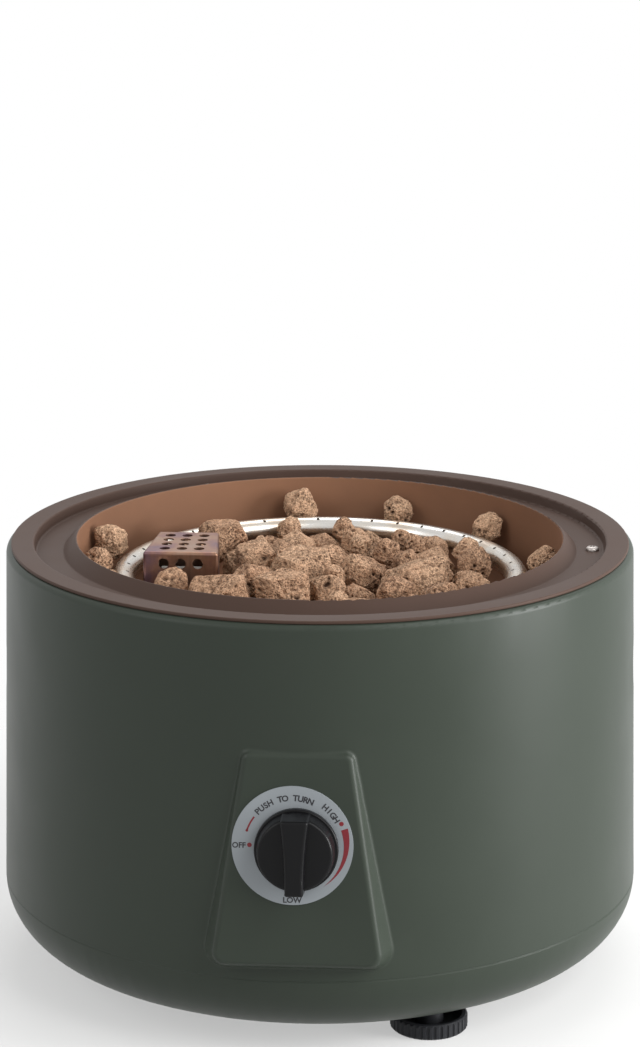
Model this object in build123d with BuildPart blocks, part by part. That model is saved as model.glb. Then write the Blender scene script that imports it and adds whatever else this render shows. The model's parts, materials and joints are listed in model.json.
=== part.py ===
from build123d import *
import math
import os
import random

# Tabletop gas fire pit: a drawn drum on levelling feet, with a ring burner in a bowl of lava rock.
# Millimetres. The origin is on the floor on the drum's axis, +Z is up and the control pad faces -Y.

# Drum shell
sheet = 1.2
drum_top_radius = 200.0
drum_spread = 5.7
drum_height = 218.3
shoulder_radius = 4.0
shell_flange_width = 15.0

# Base pan
base_clearance = 17.5
base_corner_radius = 40.0
seam_gap = 0.4
seam_round = 0.5
lap_height = 10.0
lap_clearance = 0.2
vent_count = 6
vent_length = 40.0
vent_width = 6.0
vent_inset = 67.0

# Hand holes
hand_hole_length = 90.0
hand_hole_height = 33.0
hand_hole_drop = 75.8
hand_hole_roll = 5.0
hand_hole_depth = 15.0
hand_hole_edge = 4.0
hand_hole_turn = 9.0

# Control pad
pad_lean = 4.0
pad_over_dial = 55.0
pad_over_seam = 14.5
pad_top_width = 63.0
pad_bottom_width = 101.0
pad_top_proud = 1.5
pad_draft = 20.0
pad_depth = 30.0
pad_top_corner = 4.0
pad_bottom_corner = 7.0
pad_edge_radius = 4.0
pad_blend_radius = 3.0

# Fire bowl
bowl_sheet = 1.2
rim_setback = 3.0
hem_height = 2.2
hem_width = 6.0
rim_width = 14.5
groove_depth = 7.0
groove_wall_draft = 1.0
groove_width = 18.5
lip_rise = 2.4
lip_run = 9.0
bowl_depth = 56.0
bowl_corner_radius = 14.0
hem_round = 0.8
groove_round = 1.6
lip_round = 0.9

# Rim fixings
rim_fixing_count = 3
rim_fixing_inset = 10.0
rim_screw_radius = 2.5
rim_screw_length = 13.0
rim_head_radius = 4.25
rim_head_height = 2.8
rim_head_dome = 0.7
screw_clearance = 0.25
rim_nut_flats = 8.0
rim_nut_height = 4.0
bracket_width = 26.0
bracket_sheet = 1.5
bracket_reach = 12.0
bracket_leg = 22.0
thread_gap = 0.05

# Burner
ring_clearance = 21.0
ring_tube_radius = 7.5
ring_wall = 1.0
ring_stand = 21.0
port_count = 40
port_radius = 1.1
port_inset = 3.0
port_start_angle = 12.0
tee_half_angle = 8.0
tee_swell = 1.0
tee_wall = 2.0
feed_radius = 7.0
feed_wall = 1.0
feed_flange_radius = 12.0
feed_flange_height = 2.0
feed_reach = 13.0
feed_nut_flats = 22.0
feed_nut_height = 6.0
support_count = 3
support_width = 12.0
support_sheet = 1.5
support_foot = 14.0
support_start_angle = -30.0
seat_gap = 0.2
venturi_wall = 1.4
venturi_neck_length = 12.0
venturi_bell_radius = 11.0
venturi_bell_length = 20.0
venturi_floor = 2.0
air_port_count = 4
air_port_width = 7.0
air_port_height = 11.0
jet_flats = 14.0
jet_hex_height = 8.0
jet_nozzle_radius = 4.5
jet_nozzle_height = 9.0
jet_bore_radius = 0.6
jet_passage_radius = 2.0

# Igniter under its hood
hood_inset = 38.5
hood_y = 8.0
hood_front_width = 48.5
hood_back_width = 39.5
hood_depth = 53.0
hood_height = 48.0
hood_sheet = 1.0
hood_round = 2.0
hood_hole_radius = 3.4
hood_hole_pitch = 11.0
hood_hole_columns = 3
hood_hole_rows = 4
hood_side_rows = 2
sensor_height = 26.0
sensor_spacing = 16.0
sensor_plate_offset = 4.0
sensor_plate_width = 32.0
sensor_plate_height = 34.0
sensor_plate_sheet = 1.5
sensor_plate_foot = 12.0
insulator_radius = 3.4
insulator_length = 26.0
spark_rod_radius = 1.0
spark_rod_reach = 3.0
thermocouple_radius = 2.5
thermocouple_length = 28.0
thermocouple_dome = 0.9
sensor_rear = 6.0
lead_drop_offset = 17.0
lead_bend = 5.0
lead_hole_clearance = 1.0
lead_end_run = 24.0
ignition_lead_radius = 1.5
ignition_lead_drop = 30.0
thermocouple_lead_radius = 1.0
thermocouple_lead_drop = 15.0

# Knob and dial
dial_radius = 35.7
dial_offset_x = -2.6
dial_offset_y = 1.0
dial_thickness = 0.8
push_travel = 3.0
knob_gap = 0.6
knob_skirt_radius = 24.7
knob_skirt_height = 4.0
knob_step = 1.4
knob_body_height = 10.5
knob_body_taper = 8.0
knob_edge_radius = 2.0
grip_height = 18.5
grip_top_width = 18.4
grip_waist_width = 13.8
grip_tip_width = 12.6
grip_top_inset = 2.0
grip_tip_inset = 0.9
grip_taper = 3.0
grip_edge_radius = 2.0
knob_wall = 3.0
knob_hub_radius = 7.0

# Gas valve, along the knob's axis behind the pad
stem_radius = 3.0
stem_flat = 0.8
stem_front = 17.0
stem_hole_radius = 5.0
collar_radius = 6.5
collar_thickness = 2.0
bonnet_thickness = 2.0
running_gap = 0.3
valve_radius = 13.0
valve_length = 45.0
valve_flange_thickness = 4.0
valve_drop = 23.8
valve_ear_margin = 6.0
valve_ear_width = 20.0
valve_ear_corner = 4.0
valve_screw_inset = 3.0
valve_screw_radius = 2.0
valve_screw_head_radius = 3.5
valve_screw_head_height = 2.0
valve_screw_length = 8.0
spring_chamber_radius = 8.5
spring_chamber_depth = 14.0
spring_radius = 4.7
spring_wire_radius = 0.45
spring_turns = 4
plug_front_radius = 8.0
plug_back_radius = 6.5
plug_length = 23.0
plug_socket_depth = 13.5
plug_port_radius = 2.0
plug_port_depth = 6.0
plug_port_rise = 4.0
plug_side_port_radius = 1.4
stem_tail = 10.0
boss_radius = 7.0
boss_bore_radius = 3.0
outlet_boss_length = 8.0
inlet_boss_depth = 29.0
inlet_boss_reach = 24.0
magnet_boss_depth = 35.0
magnet_boss_reach = 30.0
magnet_boss_radius = 6.0
piezo_width = 16.0
piezo_height = 34.0
piezo_length = 34.0
piezo_rise = 5.0
piezo_corner = 2.0

# Gas pipes and inlet
outlet_pipe_radius = 3.0
outlet_pipe_bend = 12.0
inlet_pipe_radius = 4.0
inlet_pipe_bend = 22.0
pipe_wall = 0.8
pipe_nut_flats = 13.0
pipe_nut_length = 10.0
pipe_gap = 0.1
inlet_over_seam = 27.5
inlet_thread_radius = 6.58
inlet_hex_flats = 19.0
inlet_hex_length = 8.0
inlet_shank = 25.0
inlet_bore_radius = 4.0
inlet_nut_flats = 22.0
inlet_nut_length = 6.0

# Levelling feet
foot_count = 3
foot_inset = 13.7
foot_start_angle = -60.0
foot_radius = 24.0
foot_height = 9.5
foot_wall = 3.2
foot_floor = 4.0
foot_hub_radius = 8.0
foot_rib_count = 36
foot_rib_radius = 1.3
foot_edge = 1.2
stud_radius = 4.0
stud_length = 43.0
stud_seat = 3.0
bush_flats = 15.0
bush_height = 10.0
stud_hole_clearance = 0.6
stud_chamfer = 1.0

# Lava rocks: the large stones inside the ring, as shares of its radius to the right and back, and those
# between the ring and the wall, as angles, each with its own radius; smaller ones are packed in
inner_stones = [
    (-0.09, 0.00, 23), (0.49, -0.09, 22), (-0.47, -0.44, 22), (-0.38, 0.42, 18), (-0.34, 0.10, 14),
    (-0.16, -0.41, 18), (0.21, -0.45, 16), (0.57, 0.37, 17), (-0.05, 0.72, 17), (0.36, 0.52, 15),
    (0.74, -0.32, 14), (0.76, 0.04, 15), (0.22, 0.24, 17), (-0.55, 0.56, 15), (-0.72, -0.34, 13),
]
outer_stones = [
    (167, 12), (183, 11), (42, 11), (4, 11), (72, 11), (99, 12), (207, 11), (-133, 11), (-107, 10),
    (-63, 12), (-34, 11),
]
fill_radius_low = 8.0
fill_radius_high = 16.0
fill_depth = 44.0
fill_tries = 3000
stone_headroom = 8.5
stone_gap = 0.3
stone_facets = 16
stone_seed = 11
stone_block = 3.0
neighbour_reach = 1.7
contact_reach = 1.1
facet_low = 0.93
facet_high = 1.10
facet_spread = 0.8
tube_step = 4.0
tube_steps = 3

# Levels and radii that follow from the sizes above
drum_seam_radius = drum_top_radius + drum_spread
rim_radius = drum_top_radius - rim_setback
rim_inner_radius = rim_radius - rim_width
lip_foot_radius = rim_inner_radius - groove_width
bowl_radius = lip_foot_radius - lip_run
rim_fixing_radius = lip_foot_radius + rim_fixing_inset
ring_radius = bowl_radius - ring_clearance - ring_tube_radius
tee_radius = ring_tube_radius + tee_swell
foot_circle_radius = drum_seam_radius - base_corner_radius - foot_inset
vent_circle_radius = foot_circle_radius - vent_inset
hood_x = hood_inset - ring_radius
sensor_plate_x = hood_x + sensor_plate_offset
lead_drop_x = hood_x + lead_drop_offset
knob_body_radius = knob_skirt_radius - knob_step
grip_top_y = knob_skirt_radius - grip_top_inset
grip_tip_y = grip_tip_inset - knob_skirt_radius
valve_screw_spacing = 2 * (valve_radius + valve_screw_inset)
valve_ear_span = valve_screw_spacing + 2 * valve_ear_margin
seam_z = base_clearance + base_corner_radius
shell_bottom_z = seam_z + seam_gap
shell_top_z = seam_z + drum_height
rim_z = shell_top_z + hem_height
groove_z = rim_z - groove_depth
lip_z = rim_z + lip_rise
floor_z = rim_z - bowl_depth
floor_under_z = floor_z - bowl_sheet
ring_z = floor_z + ring_stand + ring_tube_radius
feed_y = -ring_radius * math.cos(math.radians(tee_half_angle))
feed_bottom_z = floor_under_z - feed_reach
neck_bottom_z = feed_bottom_z - venturi_neck_length
bell_bottom_z = neck_bottom_z - venturi_bell_length
jet_bottom_z = bell_bottom_z - jet_hex_height
dial_z = jet_bottom_z - valve_drop
pad_top_z = dial_z + pad_over_dial
pad_bottom_z = seam_z + pad_over_seam
hand_hole_z = shell_top_z - hand_hole_drop
inlet_z = seam_z + inlet_over_seam
sensor_z = floor_z + sensor_height
hood_top_z = floor_z + hood_height
fill_top_z = floor_z + fill_depth


def drum_radius(z):
    """Outer radius of the shell's drafted wall at height z."""
    return drum_seam_radius - (drum_seam_radius - drum_top_radius) * (z - seam_z) / drum_height


# The control pad's plane: its origin is the knob's axis, its Z points out of the pad and its Y up the pad
tilt = math.atan((drum_seam_radius - drum_top_radius) / drum_height) + math.radians(pad_lean)
pad_y = drum_radius(pad_top_z) + pad_top_proud + (pad_top_z - dial_z) * math.tan(tilt)
pad_plane = Plane(
    origin=(0, -pad_y, dial_z), x_dir=(1, 0, 0), z_dir=(0, -math.cos(tilt), math.sin(tilt))
)
pad_axis = Axis(pad_plane.origin, pad_plane.z_dir)
bonnet_back = -sheet - bonnet_thickness
valve_back = bonnet_back - valve_length
plug_front = bonnet_back - spring_chamber_depth - running_gap
plug_back = plug_front - plug_length
knob_base = dial_thickness + push_travel + knob_gap

os.makedirs("parts", exist_ok=True)


def save(piece, name):
    """Label a finished piece and write its STEP file."""
    piece.label = name
    export_step(piece, f"parts/{name}.step")


def corner(sketch, x, y):
    """The sketch's vertex nearest to a point of its plane."""
    return sketch.vertices().sort_by_distance((x, y, 0))[0]


def hex_nut(plane, flats, length, bore):
    """Hexagon with a through bore, standing on a plane."""
    with BuildPart() as nut:
        with BuildSketch(plane):
            RegularPolygon(flats / 2, 6, major_radius=False)
            Circle(bore, mode=Mode.SUBTRACT)
        extrude(amount=length)
    return nut.part


def bent_tube(points, radius, bend, bore=0):
    """Round tube or solid wire along straight runs joined by tangent arcs."""
    with BuildPart() as tube:
        with BuildLine() as route:
            FilletPolyline(*points, radius=bend)
        with BuildSketch(Plane(origin=route.line @ 0, z_dir=route.line % 0)):
            Circle(radius)
            if bore:
                Circle(bore, mode=Mode.SUBTRACT)
        sweep()
    return tube.part


def drum_form(inset):
    """Solid form of the drum, its faces moved in by inset."""
    with BuildPart() as form:
        with BuildSketch(Plane.XZ) as section:
            with BuildLine():
                Polyline(
                    (0, shell_bottom_z - inset),
                    (drum_radius(shell_bottom_z - inset) - inset, shell_bottom_z - inset),
                    (drum_top_radius - inset, shell_top_z - inset),
                    (0, shell_top_z - inset),
                    close=True,
                )
            make_face()
            fillet(corner(section, drum_top_radius - inset, shell_top_z - inset), shoulder_radius - inset)
        revolve(axis=Axis.Z)
    return form.part


def pad_form(inset):
    """Tapered block of the control pad, its faces moved in by inset."""
    top_y = (pad_top_z - dial_z) / math.cos(tilt) - inset
    bottom_y = (pad_bottom_z - dial_z) / math.cos(tilt) + inset
    with BuildPart() as form:
        with BuildSketch(pad_plane.offset(-inset)) as face:
            with BuildLine():
                Polyline(
                    (-pad_top_width / 2 + inset, top_y),
                    (pad_top_width / 2 - inset, top_y),
                    (pad_bottom_width / 2 - inset, bottom_y),
                    (-pad_bottom_width / 2 + inset, bottom_y),
                    close=True,
                )
            make_face()
            fillet(face.vertices().group_by(Axis.Y)[-1], pad_top_corner - inset)
            fillet(face.vertices().group_by(Axis.Y)[0], pad_bottom_corner - inset)
        extrude(amount=-pad_depth, taper=-pad_draft)
        fillet(form.faces().sort_by(pad_axis)[-1].edges(), pad_edge_radius - inset)
    return form.part


# The right hand hole's plane: its Z points out of the drum, turned back from the drum's side
hole_angle = math.radians(hand_hole_turn)
hole_out = (math.cos(hole_angle), math.sin(hole_angle), 0)
hole_plane = Plane(origin=(0, 0, hand_hole_z), x_dir=(-hole_out[1], hole_out[0], 0), z_dir=hole_out)


def hand_hole_form(margin, inner_reach, outer_reach):
    """Pill-shaped prisms of the two hand holes, grown by a margin all round."""
    with BuildPart() as form:
        with BuildSketch(hole_plane.offset(inner_reach)):
            SlotOverall(hand_hole_length + 2 * margin, hand_hole_height + 2 * margin)
        extrude(amount=outer_reach - inner_reach)
        mirror(about=Plane.YZ)
    return form.part


def hole_reach(edge):
    """How far out along its hand hole the middle of an edge lies."""
    return abs((edge @ 0.5).X) * hole_out[0] + (edge @ 0.5).Y * hole_out[1]


def shell_form(inset):
    """Drum and pad blended together, their faces moved in by inset."""
    with BuildPart() as form:
        add(drum_form(inset))
        add(pad_form(inset))
        fillet(form.edges(Select.NEW), pad_blend_radius + inset)
    return form.part


# Room inside the shell, with the rolled edges of the hand holes left standing in it
hand_hole_inner = drum_radius(hand_hole_z) - hand_hole_depth
with BuildPart() as shell_room:
    add(shell_form(sheet))
    add(hand_hole_form(hand_hole_roll, hand_hole_inner, drum_seam_radius), mode=Mode.SUBTRACT)

with BuildPart() as drum_shell:
    add(shell_form(0))
    add(shell_room.part, mode=Mode.SUBTRACT)
    fillet(drum_shell.edges().group_by(Axis.Z)[0].sort_by(SortBy.LENGTH)[-1], seam_round)
    add(hand_hole_form(0, hand_hole_inner / 2, 2 * drum_seam_radius), mode=Mode.SUBTRACT)
    hole_edges = drum_shell.edges(Select.NEW)
    roll_end = hand_hole_inner + sheet
    fillet(hole_edges.filter_by(lambda edge: hole_reach(edge) > roll_end), hand_hole_edge)
    with Locations((0, 0, shell_top_z)):
        Cylinder(drum_top_radius - shell_flange_width, 4 * sheet, mode=Mode.SUBTRACT)
    with BuildSketch(pad_plane):
        Circle(stem_hole_radius)
        with GridLocations(valve_screw_spacing, 0, 2, 1):
            Circle(valve_screw_radius + screw_clearance)
    extrude(amount=-2 * sheet, mode=Mode.SUBTRACT)
    with BuildSketch(Plane.XZ):
        with Locations((0, inlet_z)):
            Circle(inlet_thread_radius + screw_clearance)
    extrude(amount=-2 * drum_seam_radius, mode=Mode.SUBTRACT)
save(drum_shell.part, "drum_shell")

# Base pan: large corner radius, and a lap standing up inside the shell
lap_top_z = seam_z + lap_height
lap_radius = drum_radius(lap_top_z) - sheet - lap_clearance
pan_arc_x = drum_seam_radius - base_corner_radius
pan_inner_radius = base_corner_radius - sheet
lap_inner = lap_radius - sheet
lap_foot_z = seam_z - math.sqrt(pan_inner_radius**2 - (lap_inner - pan_arc_x) ** 2)
pan_mid = math.sqrt(0.5)
pan_inner_angle = math.atan2(seam_z - lap_foot_z, lap_inner - pan_arc_x) / 2 + math.pi / 4
with BuildPart() as base_pan:
    with BuildSketch(Plane.XZ) as pan_section:
        with BuildLine():
            Line((0, base_clearance), (pan_arc_x, base_clearance))
            ThreePointArc(
                (pan_arc_x, base_clearance),
                (pan_arc_x + base_corner_radius * pan_mid, seam_z - base_corner_radius * pan_mid),
                (drum_seam_radius, seam_z),
            )
            Polyline(
                (drum_seam_radius, seam_z),
                (lap_radius, seam_z),
                (lap_radius, lap_top_z),
                (lap_inner, lap_top_z),
                (lap_inner, lap_foot_z),
            )
            ThreePointArc(
                (lap_inner, lap_foot_z),
                (
                    pan_arc_x + pan_inner_radius * math.cos(pan_inner_angle),
                    seam_z - pan_inner_radius * math.sin(pan_inner_angle),
                ),
                (pan_arc_x, base_clearance + sheet),
            )
            Polyline((pan_arc_x, base_clearance + sheet), (0, base_clearance + sheet), (0, base_clearance))
        make_face()
        fillet(corner(pan_section, drum_seam_radius, seam_z), seam_round)
    revolve(axis=Axis.Z)
    with BuildSketch(Plane.XY.offset(base_clearance)):
        with PolarLocations(foot_circle_radius, foot_count, start_angle=foot_start_angle):
            Circle(stud_radius + stud_hole_clearance)
        with PolarLocations(vent_circle_radius, vent_count):
            SlotOverall(vent_length, vent_width)
    extrude(amount=2 * sheet, mode=Mode.SUBTRACT)
save(base_pan.part, "base_pan")

# Fire bowl: hemmed flange, screw groove, conical lip folded over into the wall, and the floor
lip_length = math.hypot(lip_foot_radius - bowl_radius, lip_z - groove_z)
lip_slope = (lip_z - groove_z) / (lip_foot_radius - bowl_radius)
lip_under_x = lip_foot_radius - bowl_sheet * (lip_z - groove_z) / lip_length
lip_under_z = groove_z - bowl_sheet * (lip_foot_radius - bowl_radius) / lip_length
fold_z = lip_under_z + (lip_under_x - bowl_radius - bowl_sheet) * lip_slope
lip_under_foot = lip_under_x + (lip_under_z - groove_z + bowl_sheet) / lip_slope
with BuildPart() as fire_bowl:
    with BuildSketch(Plane.XZ) as bowl_section:
        with BuildLine():
            Polyline(
                (rim_radius, rim_z),
                (rim_inner_radius, rim_z),
                (rim_inner_radius - groove_wall_draft, groove_z),
                (lip_foot_radius, groove_z),
                (bowl_radius, lip_z),
                (bowl_radius, floor_z),
                (0, floor_z),
                (0, floor_under_z),
                (bowl_radius + bowl_sheet, floor_under_z),
                (bowl_radius + bowl_sheet, fold_z),
                (lip_under_foot, groove_z - bowl_sheet),
                (rim_inner_radius - groove_wall_draft + bowl_sheet, groove_z - bowl_sheet),
                (rim_inner_radius + bowl_sheet, rim_z - bowl_sheet),
                (rim_radius - hem_width, rim_z - bowl_sheet),
                (rim_radius - hem_width, rim_z - hem_height),
                (rim_radius, rim_z - hem_height),
                close=True,
            )
        make_face()
        fillet(corner(bowl_section, rim_radius, rim_z), hem_round)
        fillet(corner(bowl_section, rim_radius, rim_z - hem_height), hem_round)
        fillet(corner(bowl_section, rim_inner_radius, rim_z), groove_round)
        fillet(corner(bowl_section, rim_inner_radius - groove_wall_draft, groove_z), groove_round)
        fillet(corner(bowl_section, lip_foot_radius, groove_z), groove_round)
        fillet(corner(bowl_section, bowl_radius, lip_z), lip_round)
        fillet(corner(bowl_section, bowl_radius, floor_z), bowl_corner_radius)
        fillet(
            corner(bowl_section, bowl_radius + bowl_sheet, floor_under_z), bowl_corner_radius + bowl_sheet
        )
    revolve(axis=Axis.Z)
    with BuildSketch(Plane.XY.offset(groove_z)):
        with PolarLocations(rim_fixing_radius, rim_fixing_count):
            Circle(rim_screw_radius + screw_clearance)
    extrude(amount=-2 * bowl_sheet, mode=Mode.SUBTRACT)
    with BuildSketch(Plane.XY.offset(floor_z)):
        with Locations((0, feed_y)):
            Circle(feed_radius + screw_clearance)
        with Locations((lead_drop_x, hood_y + sensor_spacing / 2)):
            Circle(ignition_lead_radius + lead_hole_clearance)
        with Locations((lead_drop_x, hood_y - sensor_spacing / 2)):
            Circle(thermocouple_lead_radius + lead_hole_clearance)
    extrude(amount=-2 * bowl_sheet, mode=Mode.SUBTRACT)
save(fire_bowl.part, "fire_bowl")

# Brackets welded inside the drum wall, that carry the bowl's groove
bracket_top_z = groove_z - bowl_sheet
bracket_sag = drum_top_radius - math.sqrt(drum_top_radius**2 - (bracket_width / 2) ** 2)
bracket_outer = drum_radius(bracket_top_z) - sheet - bracket_sag - lap_clearance
with BuildPart() as bracket:
    with BuildSketch(Plane.XZ):
        with BuildLine():
            Polyline(
                (rim_fixing_radius - bracket_reach, bracket_top_z),
                (bracket_outer, bracket_top_z),
                (bracket_outer, bracket_top_z - bracket_leg),
                (bracket_outer - bracket_sheet, bracket_top_z - bracket_leg),
                (bracket_outer - bracket_sheet, bracket_top_z - bracket_sheet),
                (rim_fixing_radius - bracket_reach, bracket_top_z - bracket_sheet),
                close=True,
            )
        make_face()
    extrude(amount=bracket_width / 2, both=True)
    with BuildSketch(Plane.XY.offset(bracket_top_z)):
        with Locations((rim_fixing_radius, 0)):
            Circle(rim_screw_radius + screw_clearance)
    extrude(amount=-2 * bracket_sheet, mode=Mode.SUBTRACT)
with BuildPart() as bowl_brackets:
    with PolarLocations(0, rim_fixing_count):
        add(bracket.part)
save(bowl_brackets.part, "bowl_brackets")

with BuildPart() as rim_screw:
    with BuildSketch(Plane.XY.offset(groove_z)):
        with Locations((rim_fixing_radius, 0)):
            Circle(rim_head_radius)
    extrude(amount=rim_head_height)
    fillet(rim_screw.edges().group_by(Axis.Z)[-1], rim_head_height * rim_head_dome)
    with BuildSketch(Plane.XY.offset(groove_z)):
        with Locations((rim_fixing_radius, 0)):
            Circle(rim_screw_radius)
    extrude(amount=-rim_screw_length)
with BuildPart() as rim_screws:
    with PolarLocations(0, rim_fixing_count):
        add(rim_screw.part)
save(rim_screws.part, "rim_screws")

rim_nut_z = bracket_top_z - bracket_sheet - rim_nut_height
rim_nut = hex_nut(
    Plane((rim_fixing_radius, 0, rim_nut_z)), rim_nut_flats, rim_nut_height, rim_screw_radius + thread_gap
)
with BuildPart() as rim_nuts:
    with PolarLocations(0, rim_fixing_count):
        add(rim_nut)
save(rim_nuts.part, "rim_nuts")

# Burner ring: a bent tube with gas ports, open at the front where its ends meet the feed tee


def ring_plane(angle):
    """Upright plane through the drum's axis, with its X pointing out at an angle from +X."""
    turn = math.radians(angle)
    outward = (math.cos(turn), math.sin(turn), 0)
    return Plane((0, 0, 0), x_dir=outward, z_dir=(math.sin(turn), -math.cos(turn), 0))


with BuildPart() as burner_ring:
    with BuildSketch(ring_plane(tee_half_angle - 90)):
        with Locations((ring_radius, ring_z)):
            Circle(ring_tube_radius)
            Circle(ring_tube_radius - ring_wall, mode=Mode.SUBTRACT)
    revolve(axis=Axis.Z, revolution_arc=360 - 2 * tee_half_angle)
    with BuildSketch(Plane.XY.offset(ring_z)):
        with PolarLocations(
            ring_radius - port_inset,
            port_count,
            start_angle=port_start_angle - 90,
            angular_range=360 - 2 * port_start_angle,
            endpoint=True,
        ):
            Circle(port_radius)
    extrude(amount=ring_tube_radius, mode=Mode.SUBTRACT)
save(burner_ring.part, "burner_ring")

# Feed tee: a short mitred tube between the ring's ends, with the pipe down through the bowl's floor
with BuildPart() as burner_tee:
    with BuildSketch(Plane.YZ):
        with Locations((feed_y, ring_z)):
            Circle(tee_radius)
    extrude(amount=ring_radius, both=True)
    for side in (-1, 1):
        cut = ring_plane(side * tee_half_angle - 90).offset(side * seat_gap)
        split(bisect_by=cut, keep=Keep.TOP if side > 0 else Keep.BOTTOM)
    with BuildSketch(Plane((0, feed_y, feed_bottom_z))):
        Circle(feed_radius)
    extrude(amount=ring_z - feed_bottom_z)
    with BuildSketch(Plane((0, feed_y, floor_z))):
        Circle(feed_flange_radius)
    extrude(amount=feed_flange_height)
    with BuildSketch(Plane.YZ):
        with Locations((feed_y, ring_z)):
            Circle(tee_radius - tee_wall)
    extrude(amount=ring_radius, both=True, mode=Mode.SUBTRACT)
    with BuildSketch(Plane((0, feed_y, feed_bottom_z))):
        Circle(feed_radius - feed_wall)
    extrude(amount=ring_z - feed_bottom_z, mode=Mode.SUBTRACT)
save(burner_tee.part, "burner_tee")

# Folded stands between the bowl's floor and the ring's underside
with BuildPart() as support:
    with BuildSketch(Plane.XZ):
        with BuildLine():
            Polyline(
                (ring_radius - support_sheet / 2, ring_z - ring_tube_radius - seat_gap),
                (ring_radius - support_sheet / 2, floor_z),
                (ring_radius - support_sheet / 2 + support_foot, floor_z),
                (ring_radius - support_sheet / 2 + support_foot, floor_z + support_sheet),
                (ring_radius + support_sheet / 2, floor_z + support_sheet),
                (ring_radius + support_sheet / 2, ring_z - ring_tube_radius - seat_gap),
                close=True,
            )
        make_face()
    extrude(amount=support_width / 2, both=True)
with BuildPart() as burner_supports:
    with PolarLocations(0, support_count, start_angle=support_start_angle):
        add(support.part)
save(burner_supports.part, "burner_supports")

feed_nut_z = floor_under_z - feed_nut_height
burner_locknut = hex_nut(
    Plane((0, feed_y, feed_nut_z)), feed_nut_flats, feed_nut_height, feed_radius + thread_gap
)
save(burner_locknut, "burner_locknut")

# Venturi: socket over the feed pipe, neck, and a bell with air ports round the jet
venturi_top_z = feed_nut_z - seat_gap
socket_radius = feed_radius + thread_gap
neck_bore = feed_radius - feed_wall
venturi_axis = Axis((0, feed_y, 0), (0, 0, 1))
with BuildPart() as venturi_tube:
    with BuildSketch(Plane((0, feed_y, 0), x_dir=(1, 0, 0), z_dir=(0, -1, 0))):
        with BuildLine():
            Polyline(
                (socket_radius, venturi_top_z),
                (socket_radius + venturi_wall, venturi_top_z),
                (socket_radius + venturi_wall, feed_bottom_z - venturi_wall),
                (neck_bore + venturi_wall, feed_bottom_z - 2 * venturi_wall),
                (neck_bore + venturi_wall, neck_bottom_z),
                (venturi_bell_radius, neck_bottom_z - venturi_bell_radius + neck_bore),
                (venturi_bell_radius, bell_bottom_z),
                (jet_nozzle_radius + thread_gap, bell_bottom_z),
                (jet_nozzle_radius + thread_gap, bell_bottom_z + venturi_floor),
                (venturi_bell_radius - venturi_wall, bell_bottom_z + venturi_floor),
                (venturi_bell_radius - venturi_wall, neck_bottom_z - venturi_bell_radius + neck_bore),
                (neck_bore, neck_bottom_z),
                (neck_bore, feed_bottom_z - seat_gap),
                (socket_radius, feed_bottom_z - seat_gap),
                close=True,
            )
        make_face()
    revolve(axis=venturi_axis)
    with BuildSketch(Plane((0, feed_y, bell_bottom_z + venturi_floor + air_port_height / 2))):
        with PolarLocations(venturi_bell_radius, air_port_count):
            Rectangle(3 * venturi_wall, air_port_width)
    extrude(amount=air_port_height / 2, both=True, mode=Mode.SUBTRACT)
save(venturi_tube.part, "venturi_tube")

with BuildPart() as gas_jet:
    with BuildSketch(Plane((0, feed_y, jet_bottom_z))):
        RegularPolygon(jet_flats / 2, 6, major_radius=False)
    extrude(amount=jet_hex_height)
    with BuildSketch(Plane((0, feed_y, bell_bottom_z))):
        Circle(jet_nozzle_radius)
    extrude(amount=jet_nozzle_height)
    chamfer(gas_jet.edges().group_by(Axis.Z)[-1], jet_nozzle_radius / 2)
    with BuildSketch(Plane((0, feed_y, jet_bottom_z))):
        Circle(jet_passage_radius)
    extrude(amount=jet_hex_height, mode=Mode.SUBTRACT)
    with BuildSketch(Plane((0, feed_y, jet_bottom_z))):
        Circle(jet_bore_radius)
    extrude(amount=jet_hex_height + jet_nozzle_height, mode=Mode.SUBTRACT)
save(gas_jet.part, "gas_jet")

# Perforated hood over the igniter, folded from sheet and open at the bottom


def hood_form(inset):
    """Tapered block of the hood, its faces moved in by inset."""
    with BuildPart() as form:
        with BuildSketch(Plane((hood_x, hood_y, floor_z))):
            with BuildLine():
                Polyline(
                    (-hood_front_width / 2 + inset, -hood_depth / 2 + inset),
                    (hood_front_width / 2 - inset, -hood_depth / 2 + inset),
                    (hood_back_width / 2 - inset, hood_depth / 2 - inset),
                    (-hood_back_width / 2 + inset, hood_depth / 2 - inset),
                    close=True,
                )
            make_face()
        extrude(amount=hood_height - inset)
        fillet(form.edges().filter_by(Axis.Z), hood_round - inset / 2)
        fillet(form.faces().sort_by(Axis.Z)[-1].edges(), hood_round - inset / 2)
    return form.part


hood_side_z = hood_top_z - hood_hole_pitch * hood_side_rows / 2 - hood_round
with BuildPart() as igniter_hood:
    add(hood_form(0))
    add(hood_form(hood_sheet), mode=Mode.SUBTRACT)
    with BuildSketch(Plane((hood_x, hood_y, hood_top_z))):
        with GridLocations(hood_hole_pitch, hood_hole_pitch, hood_hole_columns, hood_hole_rows):
            Circle(hood_hole_radius)
    extrude(amount=-2 * hood_sheet, mode=Mode.SUBTRACT)
    with BuildSketch(Plane((hood_x, hood_y, hood_side_z), x_dir=(1, 0, 0), z_dir=(0, -1, 0))):
        with GridLocations(hood_hole_pitch, hood_hole_pitch, hood_hole_columns, hood_side_rows):
            Circle(hood_hole_radius)
    extrude(amount=hood_depth, both=True, mode=Mode.SUBTRACT)
    with BuildSketch(Plane((hood_x, hood_y, hood_side_z), x_dir=(0, 1, 0), z_dir=(1, 0, 0))):
        with GridLocations(hood_hole_pitch, hood_hole_pitch, hood_hole_rows, hood_side_rows):
            Circle(hood_hole_radius)
    extrude(amount=hood_depth, both=True, mode=Mode.SUBTRACT)
save(igniter_hood.part, "igniter_hood")

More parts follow.
